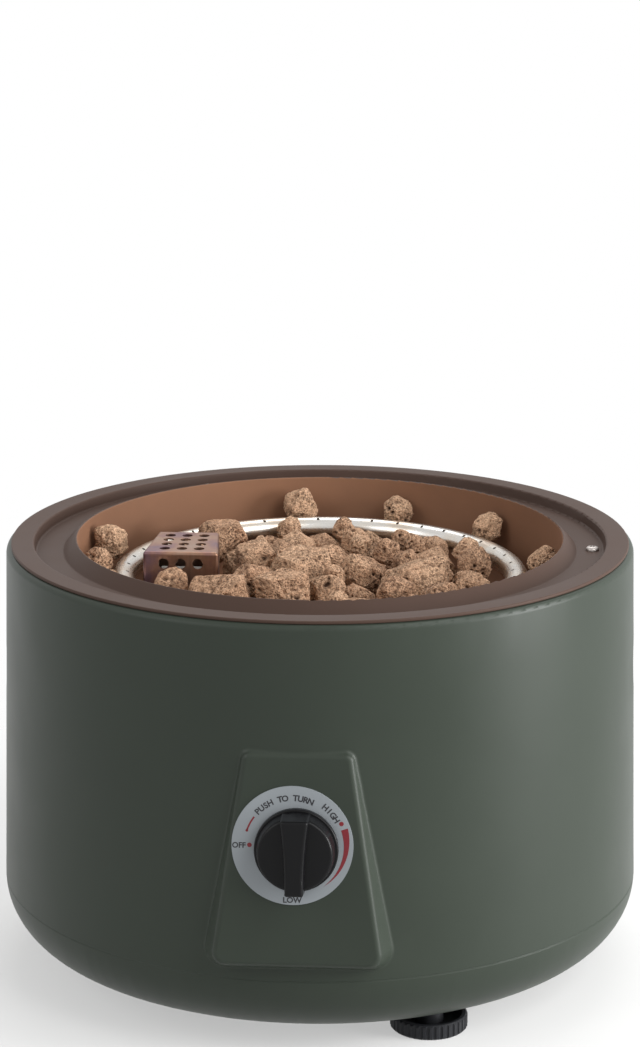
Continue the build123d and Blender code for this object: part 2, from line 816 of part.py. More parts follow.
# Electrode and thermocouple on their plate, pointing at the ring
spark_y = hood_y + sensor_spacing / 2
probe_y = hood_y - sensor_spacing / 2
with BuildPart() as electrode_bracket:
    with BuildSketch(Plane.XZ.offset(-hood_y)):
        with BuildLine():
            Polyline(
                (sensor_plate_x, floor_z),
                (sensor_plate_x - sensor_plate_foot, floor_z),
                (sensor_plate_x - sensor_plate_foot, floor_z + sensor_plate_sheet),
                (sensor_plate_x - sensor_plate_sheet, floor_z + sensor_plate_sheet),
                (sensor_plate_x - sensor_plate_sheet, floor_z + sensor_plate_height),
                (sensor_plate_x, floor_z + sensor_plate_height),
                close=True,
            )
        make_face()
    extrude(amount=sensor_plate_width / 2, both=True)
    with BuildSketch(Plane.YZ.offset(sensor_plate_x)):
        with Locations((spark_y, sensor_z)):
            Circle(insulator_radius + thread_gap)
        with Locations((probe_y, sensor_z)):
            Circle(thermocouple_radius + thread_gap)
    extrude(amount=-2 * sensor_plate_sheet, mode=Mode.SUBTRACT)
save(electrode_bracket.part, "electrode_bracket")

sensor_back_x = sensor_plate_x + sensor_rear
with BuildPart() as spark_insulator:
    with BuildSketch(Plane.YZ.offset(sensor_back_x)):
        with Locations((spark_y, sensor_z)):
            Circle(insulator_radius)
            Circle(spark_rod_radius + thread_gap, mode=Mode.SUBTRACT)
    extrude(amount=-insulator_length)
save(spark_insulator.part, "spark_insulator")

with BuildPart() as spark_rod:
    with BuildSketch(Plane.YZ.offset(sensor_back_x)):
        with Locations((spark_y, sensor_z)):
            Circle(spark_rod_radius)
    extrude(amount=-insulator_length - spark_rod_reach)
save(spark_rod.part, "spark_rod")

with BuildPart() as thermocouple:
    with BuildSketch(Plane.YZ.offset(sensor_back_x)):
        with Locations((probe_y, sensor_z)):
            Circle(thermocouple_radius)
    extrude(amount=-thermocouple_length)
    fillet(thermocouple.edges().group_by(Axis.X)[0], thermocouple_radius * thermocouple_dome)
save(thermocouple.part, "thermocouple")

# Dial plate, knob and the valve's front fixings, on the pad's axis
with BuildPart() as dial_plate:
    with BuildSketch(pad_plane):
        with Locations((dial_offset_x, dial_offset_y)):
            Circle(dial_radius)
        Circle(stem_hole_radius, mode=Mode.SUBTRACT)
        with GridLocations(valve_screw_spacing, 0, 2, 1):
            Circle(valve_screw_radius + screw_clearance, mode=Mode.SUBTRACT)
    extrude(amount=dial_thickness)
save(dial_plate.part, "dial_plate")

# Grip bar across the knob, waisted for the fingers, with its lower end as the pointer
grip_outline = [
    (-grip_top_width / 2, grip_top_y),
    (-grip_waist_width / 2, 0),
    (-grip_tip_width / 2, grip_tip_y),
    (grip_tip_width / 2, grip_tip_y),
    (grip_waist_width / 2, 0),
    (grip_top_width / 2, grip_top_y),
]
knob_face = knob_base + knob_skirt_height
with BuildPart() as grip:
    with BuildSketch(pad_plane.offset(knob_face)) as grip_face:
        with BuildLine():
            ThreePointArc(*grip_outline[0:3])
            Line(*grip_outline[2:4])
            ThreePointArc(*grip_outline[3:6])
            Line(grip_outline[5], grip_outline[0])
        make_face()
        fillet(grip_face.vertices(), grip_edge_radius)
    extrude(amount=grip_height, taper=grip_taper)
    fillet(grip.faces().sort_by(pad_axis)[-1].edges(), grip_edge_radius)

with BuildPart() as knob:
    with BuildSketch(pad_plane.offset(knob_base)):
        Circle(knob_skirt_radius)
    extrude(amount=knob_skirt_height)
    fillet(knob.edges().sort_by(pad_axis)[-1], knob_edge_radius / 2)
    with BuildSketch(pad_plane.offset(knob_face)):
        Circle(knob_body_radius)
    extrude(amount=knob_body_height, taper=knob_body_taper)
    fillet(knob.edges().sort_by(pad_axis)[-1], knob_edge_radius)
    add(grip.part)
    with BuildSketch(pad_plane.offset(knob_base)):
        Circle(knob_body_radius - knob_wall)
        Circle(knob_hub_radius, mode=Mode.SUBTRACT)
    extrude(amount=knob_skirt_height + knob_body_height - knob_wall, mode=Mode.SUBTRACT)
    with BuildSketch(pad_plane.offset(knob_base)):
        Circle(stem_radius + thread_gap)
        with Locations((0, 2 * stem_radius - stem_flat + thread_gap)):
            Rectangle(2 * stem_radius, 2 * stem_radius, mode=Mode.SUBTRACT)
    extrude(amount=stem_front - knob_base + seat_gap, mode=Mode.SUBTRACT)
save(knob.part, "knob")

screw_seat = dial_thickness
with BuildPart() as valve_screws:
    with BuildSketch(pad_plane.offset(screw_seat)):
        with GridLocations(valve_screw_spacing, 0, 2, 1):
            Circle(valve_screw_head_radius)
    extrude(amount=valve_screw_head_height)
    fillet(valve_screws.edges().group_by(pad_axis)[-1], valve_screw_head_height / 2)
    with BuildSketch(pad_plane.offset(screw_seat)):
        with GridLocations(valve_screw_spacing, 0, 2, 1):
            Circle(valve_screw_radius)
    extrude(amount=-valve_screw_length)
save(valve_screws.part, "valve_screws")


def ear_plate(front, thickness):
    """Plate with two screw ears, behind the pad."""
    with BuildPart() as plate:
        with BuildSketch(pad_plane.offset(front)):
            RectangleRounded(valve_ear_span, valve_ear_width, valve_ear_corner)
            Circle(valve_radius)
            with GridLocations(valve_screw_spacing, 0, 2, 1):
                Circle(valve_screw_radius + thread_gap, mode=Mode.SUBTRACT)
        extrude(amount=-thickness)
    return plate.part


with BuildPart() as valve_bonnet:
    add(ear_plate(-sheet, bonnet_thickness))
    with BuildSketch(pad_plane):
        Circle(stem_radius + running_gap)
    extrude(amount=-sheet - 2 * bonnet_thickness, mode=Mode.SUBTRACT)
save(valve_bonnet.part, "valve_bonnet")

# Valve body: barrel with a tapered bore for the plug, and bosses for the inlet, outlet and flame guard
inlet_boss_plane = Plane(
    pad_plane.from_local_coords((0, 0, bonnet_back - inlet_boss_depth)),
    x_dir=(1, 0, 0),
    z_dir=-pad_plane.y_dir,
)
magnet_boss_plane = Plane(
    pad_plane.from_local_coords((0, 0, bonnet_back - magnet_boss_depth)),
    x_dir=pad_plane.y_dir,
    z_dir=pad_plane.x_dir,
)
outlet_boss_end = valve_back - outlet_boss_length
with BuildPart() as valve_body:
    add(ear_plate(bonnet_back, valve_flange_thickness))
    with BuildSketch(pad_plane.offset(bonnet_back)):
        Circle(valve_radius)
    extrude(amount=-valve_length)
    with BuildSketch(pad_plane.offset(valve_back)):
        Circle(boss_radius)
    extrude(amount=-outlet_boss_length)
    with BuildSketch(inlet_boss_plane):
        Circle(boss_radius)
    extrude(amount=inlet_boss_reach)
    with BuildSketch(magnet_boss_plane):
        Circle(magnet_boss_radius)
    extrude(amount=magnet_boss_reach)
    with BuildSketch(pad_plane.offset(bonnet_back)):
        Circle(spring_chamber_radius)
    extrude(amount=-spring_chamber_depth, mode=Mode.SUBTRACT)
    with Locations(pad_plane.offset((plug_front + plug_back) / 2)):
        Cone(
            plug_back_radius + running_gap,
            plug_front_radius + running_gap,
            plug_length + 2 * running_gap,
            mode=Mode.SUBTRACT,
        )
    with BuildSketch(pad_plane.offset(outlet_boss_end)):
        Circle(boss_bore_radius)
    extrude(amount=plug_back - outlet_boss_end, mode=Mode.SUBTRACT)
    with BuildSketch(inlet_boss_plane):
        Circle(boss_bore_radius)
    extrude(amount=inlet_boss_reach, mode=Mode.SUBTRACT)
save(valve_body.part, "valve_body")

plug_port_plane = Plane(
    pad_plane.from_local_coords((0, 0, plug_back + plug_port_rise)), z_dir=-pad_plane.y_dir
)
with BuildPart() as valve_plug:
    with Locations(pad_plane.offset((plug_front + plug_back) / 2)):
        Cone(plug_back_radius, plug_front_radius, plug_length)
    with BuildSketch(pad_plane.offset(plug_front)):
        Circle(stem_radius + running_gap)
    extrude(amount=-plug_socket_depth, mode=Mode.SUBTRACT)
    with BuildSketch(pad_plane.offset(plug_back)):
        Circle(plug_port_radius)
    extrude(amount=plug_port_depth, mode=Mode.SUBTRACT)
    with BuildSketch(plug_port_plane):
        Circle(plug_side_port_radius)
    extrude(amount=plug_front_radius, mode=Mode.SUBTRACT)
save(valve_plug.part, "valve_plug")

# Stem: flatted front in the knob, collar held behind the bonnet, tail sliding in the plug
collar_front = bonnet_back - running_gap
with BuildPart() as valve_stem:
    with BuildSketch(pad_plane.offset(plug_front - stem_tail)):
        Circle(stem_radius)
    extrude(amount=stem_front - plug_front + stem_tail)
    with BuildSketch(pad_plane.offset(knob_base - push_travel)):
        with Locations((0, 2 * stem_radius - stem_flat)):
            Rectangle(2 * stem_radius, 2 * stem_radius)
    extrude(amount=stem_front, mode=Mode.SUBTRACT)
    with BuildSketch(pad_plane.offset(collar_front)):
        Circle(collar_radius)
    extrude(amount=-collar_thickness)
save(valve_stem.part, "valve_stem")

# Return spring between the plug and the stem's collar
spring_back = plug_front + spring_wire_radius + seat_gap
spring_length = collar_front - collar_thickness - seat_gap - spring_wire_radius - spring_back
with BuildPart() as return_spring:
    with BuildLine() as spring_line:
        Helix(
            spring_length / spring_turns,
            spring_length,
            spring_radius,
            center=pad_plane.from_local_coords((0, 0, spring_back)),
            direction=pad_plane.z_dir,
        )
    with BuildSketch(Plane(origin=spring_line.line @ 0, z_dir=spring_line.line % 0)):
        Circle(spring_wire_radius)
    sweep(is_frenet=True)
save(return_spring.part, "return_spring")

# Piezo unit clipped to the side of the barrel
piezo_x = -valve_radius - piezo_width / 2 - seat_gap
piezo_front = bonnet_back - valve_flange_thickness - seat_gap
with BuildPart() as piezo_unit:
    with BuildSketch(pad_plane.offset(piezo_front)):
        with Locations((piezo_x, piezo_rise)):
            RectangleRounded(piezo_width, piezo_height, piezo_corner)
    extrude(amount=-piezo_length)
save(piezo_unit.part, "piezo_unit")

# Gas inlet through the back of the drum; its thread reaches as far back as the knob does forward
inlet_seat_y = drum_radius(inlet_z - inlet_hex_flats / 2) + thread_gap
inlet_inner_y = inlet_seat_y - inlet_shank
inlet_end_y = -knob.part.bounding_box().min.Y
inlet_plane = Plane((0, inlet_seat_y, inlet_z), x_dir=(1, 0, 0), z_dir=(0, 1, 0))
with BuildPart() as inlet_fitting:
    with BuildSketch(inlet_plane):
        RegularPolygon(inlet_hex_flats / 2, 6, major_radius=False)
    extrude(amount=inlet_hex_length)
    with BuildSketch(inlet_plane.offset(-inlet_shank)):
        Circle(inlet_thread_radius)
    extrude(amount=inlet_end_y - inlet_inner_y)
    with BuildSketch(inlet_plane.offset(-inlet_shank)):
        Circle(inlet_bore_radius)
    extrude(amount=inlet_end_y - inlet_inner_y, mode=Mode.SUBTRACT)
save(inlet_fitting.part, "inlet_fitting")

inlet_nut_radius = inlet_nut_flats / math.sqrt(3)
inlet_wall_y = drum_radius(inlet_z + inlet_nut_flats / 2) - sheet
inlet_nut_y = math.sqrt(inlet_wall_y**2 - inlet_nut_radius**2) - thread_gap
inlet_locknut = hex_nut(
    inlet_plane.offset(inlet_nut_y - inlet_nut_length - inlet_seat_y),
    inlet_nut_flats,
    inlet_nut_length,
    inlet_thread_radius + thread_gap,
)
save(inlet_locknut, "inlet_locknut")

# Pipes: from the inlet along the drum and up to the valve, and from the valve up to the jet
valve_inlet = inlet_boss_plane.from_local_coords((0, 0, inlet_boss_reach + pipe_gap))
inlet_run = (valve_inlet.Z - inlet_z) / pad_plane.y_dir.Z
inlet_corner = valve_inlet - pad_plane.y_dir * inlet_run
inlet_pipe = bent_tube(
    [(0, inlet_inner_y - pipe_gap, inlet_z), inlet_corner, valve_inlet],
    inlet_pipe_radius,
    inlet_pipe_bend,
    inlet_pipe_radius - pipe_wall,
)
save(inlet_pipe, "inlet_pipe")

valve_outlet = pad_plane.from_local_coords((0, 0, outlet_boss_end - pipe_gap))
outlet_run = (valve_outlet.Y - feed_y) / pad_plane.z_dir.Y
outlet_corner = valve_outlet - pad_plane.z_dir * outlet_run
outlet_pipe = bent_tube(
    [valve_outlet, outlet_corner, (0, feed_y, jet_bottom_z - pipe_gap)],
    outlet_pipe_radius,
    outlet_pipe_bend,
    outlet_pipe_radius - pipe_wall,
)
save(outlet_pipe, "outlet_pipe")

with BuildPart() as pipe_nuts:
    inlet_nut_bore = inlet_pipe_radius + pipe_gap
    outlet_nut_bore = outlet_pipe_radius + pipe_gap
    inlet_nut_plane = inlet_plane.offset(-inlet_shank - pipe_gap - pipe_nut_length)
    add(hex_nut(inlet_nut_plane, pipe_nut_flats, pipe_nut_length, inlet_nut_bore))
    valve_nut_plane = inlet_boss_plane.offset(inlet_boss_reach + pipe_gap)
    add(hex_nut(valve_nut_plane, pipe_nut_flats, pipe_nut_length, inlet_nut_bore))
    outlet_nut_plane = pad_plane.offset(outlet_boss_end - pipe_gap - pipe_nut_length)
    add(hex_nut(outlet_nut_plane, pipe_nut_flats, pipe_nut_length, outlet_nut_bore))
    jet_nut_plane = Plane((0, feed_y, jet_bottom_z - pipe_gap - pipe_nut_length))
    add(hex_nut(jet_nut_plane, pipe_nut_flats, pipe_nut_length, outlet_nut_bore))
save(pipe_nuts.part, "pipe_nuts")

# Leads from the igniter down through the bowl's floor to the piezo unit and the flame guard's boss
lead_start_x = sensor_back_x + pipe_gap
piezo_top = pad_plane.from_local_coords(
    (piezo_x, piezo_rise + piezo_height / 2 + pipe_gap, piezo_front - piezo_length / 2)
)
ignition_lead = bent_tube(
    [
        (lead_start_x, spark_y, sensor_z),
        (lead_drop_x, spark_y, sensor_z),
        (lead_drop_x, spark_y, floor_under_z - ignition_lead_drop),
        piezo_top + pad_plane.y_dir * lead_end_run,
        piezo_top,
    ],
    ignition_lead_radius,
    lead_bend,
)
save(ignition_lead, "ignition_lead")

magnet_end = magnet_boss_plane.from_local_coords((0, 0, magnet_boss_reach + pipe_gap))
thermocouple_lead = bent_tube(
    [
        (lead_start_x, probe_y, sensor_z),
        (lead_drop_x, probe_y, sensor_z),
        (lead_drop_x, probe_y, floor_under_z - thermocouple_lead_drop),
        magnet_end + pad_plane.x_dir * lead_end_run,
        magnet_end,
    ],
    thermocouple_lead_radius,
    lead_bend,
)
save(thermocouple_lead, "thermocouple_lead")

# Levelling feet: ribbed cup-shaped pads on studs that screw into bushes on the base pan
foot_hub_top = base_clearance - running_gap
foot_bushes_z = base_clearance + sheet
with BuildPart() as foot_bushes:
    with PolarLocations(foot_circle_radius, foot_count, start_angle=foot_start_angle):
        add(hex_nut(Plane.XY.offset(foot_bushes_z), bush_flats, bush_height, stud_radius + running_gap))
save(foot_bushes.part, "foot_bushes")

with BuildPart() as foot_pad:
    with BuildSketch(Plane.XZ):
        with BuildLine():
            Polyline(
                (0, 0),
                (foot_radius - foot_edge, 0),
                (foot_radius, foot_edge),
                (foot_radius, foot_height - foot_edge),
                (foot_radius - foot_edge, foot_height),
                (foot_radius - foot_wall, foot_height),
                (foot_radius - foot_wall - foot_edge, foot_floor),
                (foot_hub_radius + foot_edge, foot_floor),
                (foot_hub_radius, foot_hub_top),
                (stud_radius + running_gap, foot_hub_top),
                (stud_radius + running_gap, stud_seat),
                (0, stud_seat),
                close=True,
            )
        make_face()
    revolve(axis=Axis.Z)
    with BuildSketch():
        with PolarLocations(foot_radius + foot_rib_radius / 3, foot_rib_count):
            Circle(foot_rib_radius)
    extrude(amount=foot_height, mode=Mode.SUBTRACT)

with BuildPart() as foot_stud:
    with BuildSketch(Plane.XY.offset(stud_seat + running_gap)):
        Circle(stud_radius)
    extrude(amount=stud_length)
    chamfer(foot_stud.edges().group_by(Axis.Z)[-1], stud_chamfer)

for number in range(1, foot_count + 1):
    foot_angle = foot_start_angle + (number - 1) * 360 / foot_count
    with BuildPart() as placed_pad:
        with PolarLocations(foot_circle_radius, 1, start_angle=foot_angle):
            add(foot_pad.part)
    save(placed_pad.part, f"foot_pad_{number}")
    with BuildPart() as placed_stud:
        with PolarLocations(foot_circle_radius, 1, start_angle=foot_angle):
            add(foot_stud.part)
    save(placed_stud.part, f"foot_stud_{number}")

# Lava rocks. Each stone starts as a ball dropped on the floor, the ring and the stones below it, and is
# then cut to facets: loose ones in all directions, and one against each neighbour that leaves a gap.


def ring_contact(x, y):
    """Distance in plan from the ring's centre line."""
    return math.hypot(x, y) - ring_radius


def hood_point(x, y, z):
    """Point of the hood's box nearest to a given point."""
    half_width = hood_front_width / 2
    half_depth = hood_depth / 2
    return Vector(
        min(max(x, hood_x - half_width), hood_x + half_width),
        min(max(y, hood_y - half_depth), hood_y + half_depth),
        min(z, hood_top_z),
    )


def resting_height(x, y, radius, stones):
    """Height of a ball's centre when it is dropped straight down at x, y."""
    z = floor_z + radius + stone_gap
    for centre, other in stones:
        reach = radius + other + stone_gap
        apart = math.hypot(x - centre.X, y - centre.Y)
        if apart < reach:
            z = max(z, centre.Z + math.sqrt(reach**2 - apart**2))
    reach = radius + tee_radius + stone_gap
    if abs(ring_contact(x, y)) < reach:
        z = max(z, ring_z + math.sqrt(reach**2 - ring_contact(x, y) ** 2))
    return z


def has_room(x, y, radius):
    """Whether a ball inside the ring clears the ring, the feed's flange and the hood in plan."""
    if math.hypot(x, y) > ring_radius - tee_radius - radius:
        return False
    if math.hypot(x, y - feed_y) < radius + feed_flange_radius + stone_gap:
        return False
    nearest = hood_point(x, y, floor_z)
    return math.hypot(x - nearest.X, y - nearest.Y) > radius + stone_gap


chance = random.Random(stone_seed)
stones = []
for across, back, radius in inner_stones:
    x, y = across * ring_radius, back * ring_radius
    if has_room(x, y, radius):
        stones.append((Vector(x, y, resting_height(x, y, radius, stones)), radius))
for angle, radius in outer_stones:
    reach = bowl_radius - radius - stone_gap
    x, y = reach * math.cos(math.radians(angle)), reach * math.sin(math.radians(angle))
    stones.append((Vector(x, y, resting_height(x, y, radius, stones)), radius))
for attempt in range(fill_tries):
    radius = fill_radius_high - (fill_radius_high - fill_radius_low) * attempt / fill_tries
    reach = (ring_radius - tee_radius - radius) * math.sqrt(chance.random())
    turn = chance.uniform(0, 2 * math.pi)
    x, y = reach * math.cos(turn), reach * math.sin(turn)
    z = resting_height(x, y, radius, stones)
    if has_room(x, y, radius) and z + radius < fill_top_z:
        stones.append((Vector(x, y, z), radius))


def facet(centre, direction, distance):
    """Cutting plane at a distance from a stone's centre."""
    return Plane(centre + direction * distance, z_dir=direction)


def stone_cuts(centre, radius):
    """Planes that cut one stone: against what it touches first, then loose facets."""
    cuts = [(Vector(0, 0, -1), centre.Z - floor_z - stone_gap)]
    if math.hypot(centre.X, centre.Y) < ring_radius:
        cuts.append((Vector(0, 0, 1), rim_z - stone_headroom - centre.Z))
    else:
        cuts.append((Vector(0, 0, 1), rim_z - stone_gap - centre.Z))
    for other, other_radius in stones:
        apart = (other - centre).length
        if 0 < apart < neighbour_reach * (radius + other_radius):
            share = (apart**2 + radius**2 - other_radius**2) / (2 * apart)
            cuts.append(((other - centre).normalized(), share - stone_gap / 2))
    bearing = math.atan2(centre.Y, centre.X)
    outward = Vector(math.cos(bearing), math.sin(bearing), 0)
    wall_sag = radius**2 / bowl_radius
    cuts.append((outward, bowl_radius - math.hypot(centre.X, centre.Y) - wall_sag - stone_gap))
    for step in range(-tube_steps, tube_steps + 1):
        angle = bearing + step * math.radians(tube_step)
        tube = Vector(ring_radius * math.cos(angle), ring_radius * math.sin(angle), ring_z)
        if (tube - centre).length < 2 * radius + tee_radius:
            cuts.append(((tube - centre).normalized(), (tube - centre).length - tee_radius - stone_gap))
    feed = Vector(0, feed_y, centre.Z) - centre
    if centre.Z < ring_z and feed.length < 2 * radius + feed_flange_radius:
        cuts.append((feed.normalized(), feed.length - feed_flange_radius - stone_gap))
    hood = hood_point(centre.X, centre.Y, centre.Z) - centre
    if hood.length < 2 * radius:
        cuts.append((hood.normalized(), hood.length - stone_gap))
    touching = [direction for direction, distance in cuts if distance < contact_reach * radius]
    spin = chance.uniform(0, 2 * math.pi)
    for number in range(stone_facets):
        height = 1 - (2 * number + 1) / stone_facets
        turn = spin + number * math.pi * (3 - math.sqrt(5))
        level = math.sqrt(1 - height**2)
        direction = Vector(level * math.cos(turn), level * math.sin(turn), height)
        distance = radius * chance.uniform(facet_low, facet_high)
        if all(direction.dot(other) < facet_spread for other in touching):
            cuts.append((direction, distance))
    return cuts


stone_solids = []
for centre, radius in stones:
    block = stone_block * radius
    spins = (chance.uniform(0, 90), chance.uniform(0, 90), 0)
    with BuildPart() as stone:
        with Locations(centre):
            Box(block, block, block, rotation=spins)
        for direction, distance in stone_cuts(centre, radius):
            if distance < block * math.sqrt(3) / 2:
                split(bisect_by=facet(centre, direction, distance), keep=Keep.BOTTOM)
    stone_solids.append(stone.part)
with BuildPart() as lava_rocks:
    add(stone_solids)
save(lava_rocks.part, "lava_rocks")
print(len(stones), "stones")
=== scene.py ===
"""Tabletop gas fire pit: finishes, lava rock, dial print, threads and stage around the packed model."""

import json
import math
import random

import bmesh
import bpy
from mathutils import Matrix, Vector, noise
from mathutils.bvhtree import BVHTree

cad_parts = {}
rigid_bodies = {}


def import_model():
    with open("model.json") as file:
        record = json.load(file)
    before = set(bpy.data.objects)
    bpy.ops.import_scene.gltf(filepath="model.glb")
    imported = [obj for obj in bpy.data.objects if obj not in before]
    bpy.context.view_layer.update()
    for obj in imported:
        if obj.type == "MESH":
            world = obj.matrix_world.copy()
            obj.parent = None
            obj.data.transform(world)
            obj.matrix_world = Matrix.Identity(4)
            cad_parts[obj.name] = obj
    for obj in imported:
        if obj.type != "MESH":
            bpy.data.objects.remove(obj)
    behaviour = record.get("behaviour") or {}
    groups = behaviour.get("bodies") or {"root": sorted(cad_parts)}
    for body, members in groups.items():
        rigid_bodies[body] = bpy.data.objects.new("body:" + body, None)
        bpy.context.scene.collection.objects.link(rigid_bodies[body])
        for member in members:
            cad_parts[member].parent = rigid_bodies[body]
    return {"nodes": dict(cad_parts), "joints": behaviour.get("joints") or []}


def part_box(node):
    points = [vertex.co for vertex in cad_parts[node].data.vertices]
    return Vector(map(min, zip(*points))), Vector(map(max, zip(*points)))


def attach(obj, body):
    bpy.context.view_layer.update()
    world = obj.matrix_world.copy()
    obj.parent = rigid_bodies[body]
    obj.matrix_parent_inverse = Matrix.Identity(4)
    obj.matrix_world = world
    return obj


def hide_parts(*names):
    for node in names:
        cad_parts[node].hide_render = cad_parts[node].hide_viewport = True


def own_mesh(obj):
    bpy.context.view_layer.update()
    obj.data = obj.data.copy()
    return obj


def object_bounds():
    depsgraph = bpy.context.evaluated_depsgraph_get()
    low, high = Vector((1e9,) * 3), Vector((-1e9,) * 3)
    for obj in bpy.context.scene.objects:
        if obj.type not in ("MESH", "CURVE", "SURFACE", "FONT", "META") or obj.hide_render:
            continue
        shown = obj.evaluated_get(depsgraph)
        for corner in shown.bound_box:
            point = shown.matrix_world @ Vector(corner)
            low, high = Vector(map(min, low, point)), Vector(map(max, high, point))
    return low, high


bl_info = {
    "name": "Tabletop fire pit",
    "version": (1, 0, 0),
    "blender": (4, 5, 0),
    "location": "3D View > Sidebar > Fire pit",
    "description": "Dresses the fire pit's packed model: paint, metal, lava rock, dial print and stage",
    "category": "Object",
}

for leftover in list(bpy.data.objects):
    bpy.data.objects.remove(leftover)
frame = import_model()
cad_low, cad_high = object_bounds()
joints = {joint["name"]: joint for joint in frame["joints"]}

# The control pad's frame: X to the right, Y up the pad and Z out along the knob's axis.
pad_origin = Vector(joints["knob_turn"]["pos_m"])
pad_out = Vector(joints["knob_turn"]["axis"]).normalized()
pad_right = Vector((1, 0, 0))
pad_up = pad_out.cross(pad_right)
pad_frame = Matrix.Translation(pad_origin) @ Matrix((pad_right, pad_up, pad_out)).transposed().to_4x4()

MM = 0.001
# Corners of a CAD mesh this near to each other are one corner.
WELD = 2e-6


def reach(node, direction):
    """How far a CAD node goes along a direction from the pad's origin."""
    return max((vertex.co - pad_origin).dot(direction) for vertex in frame["nodes"][node].data.vertices)


def length_property(name, description, default):
    """A size in metres, shown in the scene's units."""
    return bpy.props.FloatProperty(
        name=name, description=description, default=default, unit="LENGTH", precision=5
    )


def colour_property(name, description, default):
    """A surface colour."""
    return bpy.props.FloatVectorProperty(
        name=name, description=description, default=default, subtype="COLOR", size=3, min=0.0, max=1.0
    )


def share_property(name, description, default):
    """A share from 0 to 1."""
    return bpy.props.FloatProperty(
        name=name, description=description, default=default, subtype="FACTOR", min=0.0, max=1.0
    )


def angle_property(name, description, degrees):
    """An angle, shown in degrees."""
    return bpy.props.FloatProperty(
        name=name, description=description, default=math.radians(degrees), subtype="ANGLE"
    )


class PaintSettings(bpy.types.PropertyGroup):
    """Paint of the drum and its base pan, and enamel of the bowl."""

    green: colour_property("Drum green", "Colour of the drum and base pan", (0.031, 0.040, 0.030))
    green_roughness: share_property("Drum roughness", "How matt the drum's paint is", 0.42)
    green_shine: share_property("Drum shine", "How strongly the drum's paint reflects", 0.24)
    peel: length_property("Orange peel", "Width of the paint's ripples", 0.0016)
    bead: length_property("Seam bead", "Thickness of the bead in the joint of drum and base pan", 0.0009)
    enamel: colour_property("Bowl enamel", "Colour of the bowl's rim", (0.072, 0.044, 0.034))
    enamel_roughness: share_property("Bowl roughness", "How matt the bowl's enamel is", 0.50)
    enamel_shine: share_property("Bowl shine", "How strongly the bowl's enamel reflects", 0.12)
    # Scorched colour of the bowl's inside: heat tint, made lighter and warmer as painted light of the
    # burner's flame.
    scorch_and_flame_light: colour_property("Scorched enamel", "Colour of the bowl's inside", (0.262, 0.133, 0.077))


class MetalSettings(bpy.types.PropertyGroup):
    """Bare metals of the burner, screws and gas line."""

    stainless: colour_property("Stainless", "Colour of the burner", (0.62, 0.60, 0.57))
    straw: colour_property("Straw tint", "First colour that heat leaves on steel", (0.55, 0.38, 0.18))
    bronze: colour_property("Bronze tint", "Second colour that heat leaves on steel", (0.26, 0.13, 0.08))
    zinc: colour_property("Zinc", "Colour of plated nuts and studs", (0.66, 0.66, 0.65))
    screw: colour_property("Screws", "Colour of the rim and valve screws", (0.40, 0.365, 0.345))
    brass: colour_property("Brass", "Colour of the gas fittings", (0.62, 0.45, 0.20))
    hood: colour_property("Hood", "Colour of the hood, browned by heat", (0.27, 0.18, 0.135))
    plum: colour_property("Plum tint", "Third colour that heat leaves on steel", (0.13, 0.085, 0.125))
    copper: colour_property("Copper", "Colour of the thermocouple", (0.62, 0.33, 0.20))
    alloy: colour_property("Cast alloy", "Colour of the valve and pipes", (0.56, 0.57, 0.58))


class StoneSettings(bpy.types.PropertyGroup):
    """Shape and colour of the lava rocks."""

    tan: colour_property("Light stone", "Colour of the dry, light stones", (0.800, 0.520, 0.335))
    umber: colour_property("Dark stone", "Colour of the dark stones", (0.540, 0.310, 0.190))
    # Painted shade: the pore colour darkens the pores and the pits pressed into the stones.
    pore: colour_property("Pore", "Colour at the bottom of the pores", (0.060, 0.030, 0.018))
    mesh_size: length_property("Mesh size", "Size of the mesh on the stones", 0.0012)
    corner: length_property("Worn corner", "Rounding of each stone's edges", 0.0024)
    lump: length_property("Lumps", "Depth of the broad lumps", 0.0040)
    pit: length_property("Pits", "Depth of the large pores", 0.0021)
    middle: length_property("Middle", "Stones this near to the axis make up the middle of the bed", 0.072)
    seed: bpy.props.IntProperty(name="Seed", description="Which set of stones", default=4)


class DialSettings(bpy.types.PropertyGroup):
    """Print on the dial plate and the plastic of the knob and feet."""

    face: colour_property("Dial face", "Colour of the dial plate", (0.30, 0.325, 0.345))
    ink: colour_property("Ink", "Colour of the words", (0.022, 0.022, 0.026))
    red: colour_property("Red", "Colour of the marks", (0.19, 0.007, 0.014))
    knob: colour_property("Knob", "Colour of the knob", (0.005, 0.005, 0.0055))
    foot: colour_property("Feet", "Colour of the feet", (0.017, 0.018, 0.021))
    letter: length_property("Letter height", "Height of the words' capitals", 0.0037)
    bold: share_property("Boldness", "How far the letters' outlines grow, as a share of their size", 0.032)
    print_height: length_property("Print height", "How far the print stands off the plate", 0.00006)


class StageSettings(bpy.types.PropertyGroup):
    """Floor, lights and camera."""

    floor: colour_property("Floor", "Colour of the floor", (0.86, 0.86, 0.85))
    floor_radius: length_property("Floor radius", "Where the floor has faded into the backdrop", 0.8)
    shadow: share_property("Shadow", "How strongly the floor shows over the white backdrop", 0.55)
    bounce: share_property("Bounce", "How much of its light the floor sends back up", 0.45)
    ambient: share_property("Ambient", "Strength of the light from all round", 0.45)
    distance: length_property("Distance", "From the drum's axis to the camera, level", 1.842)
    above_rim: length_property("Above rim", "Height of the camera over the rim", 0.480)
    swing: angle_property("Swing", "How far the camera stands to the right", 3.7)
    pitch: angle_property("Pitch", "How far the camera looks down", 14.38)
    lens: bpy.props.FloatProperty(name="Lens", description="Focal length in millimetres", default=102.15)


# Shader node groups and the small helpers that place nodes.


def place(tree, kind, settings=None, **inputs):
    """New shader node with its settings, and its inputs set or linked by name."""
    made = tree.nodes.new(f"ShaderNode{kind}")
    for key, value in (settings or {}).items():
        setattr(made, key, value)
    for key, value in inputs.items():
        feed(tree, made.inputs[key.replace("_", " ")], value)
    return made


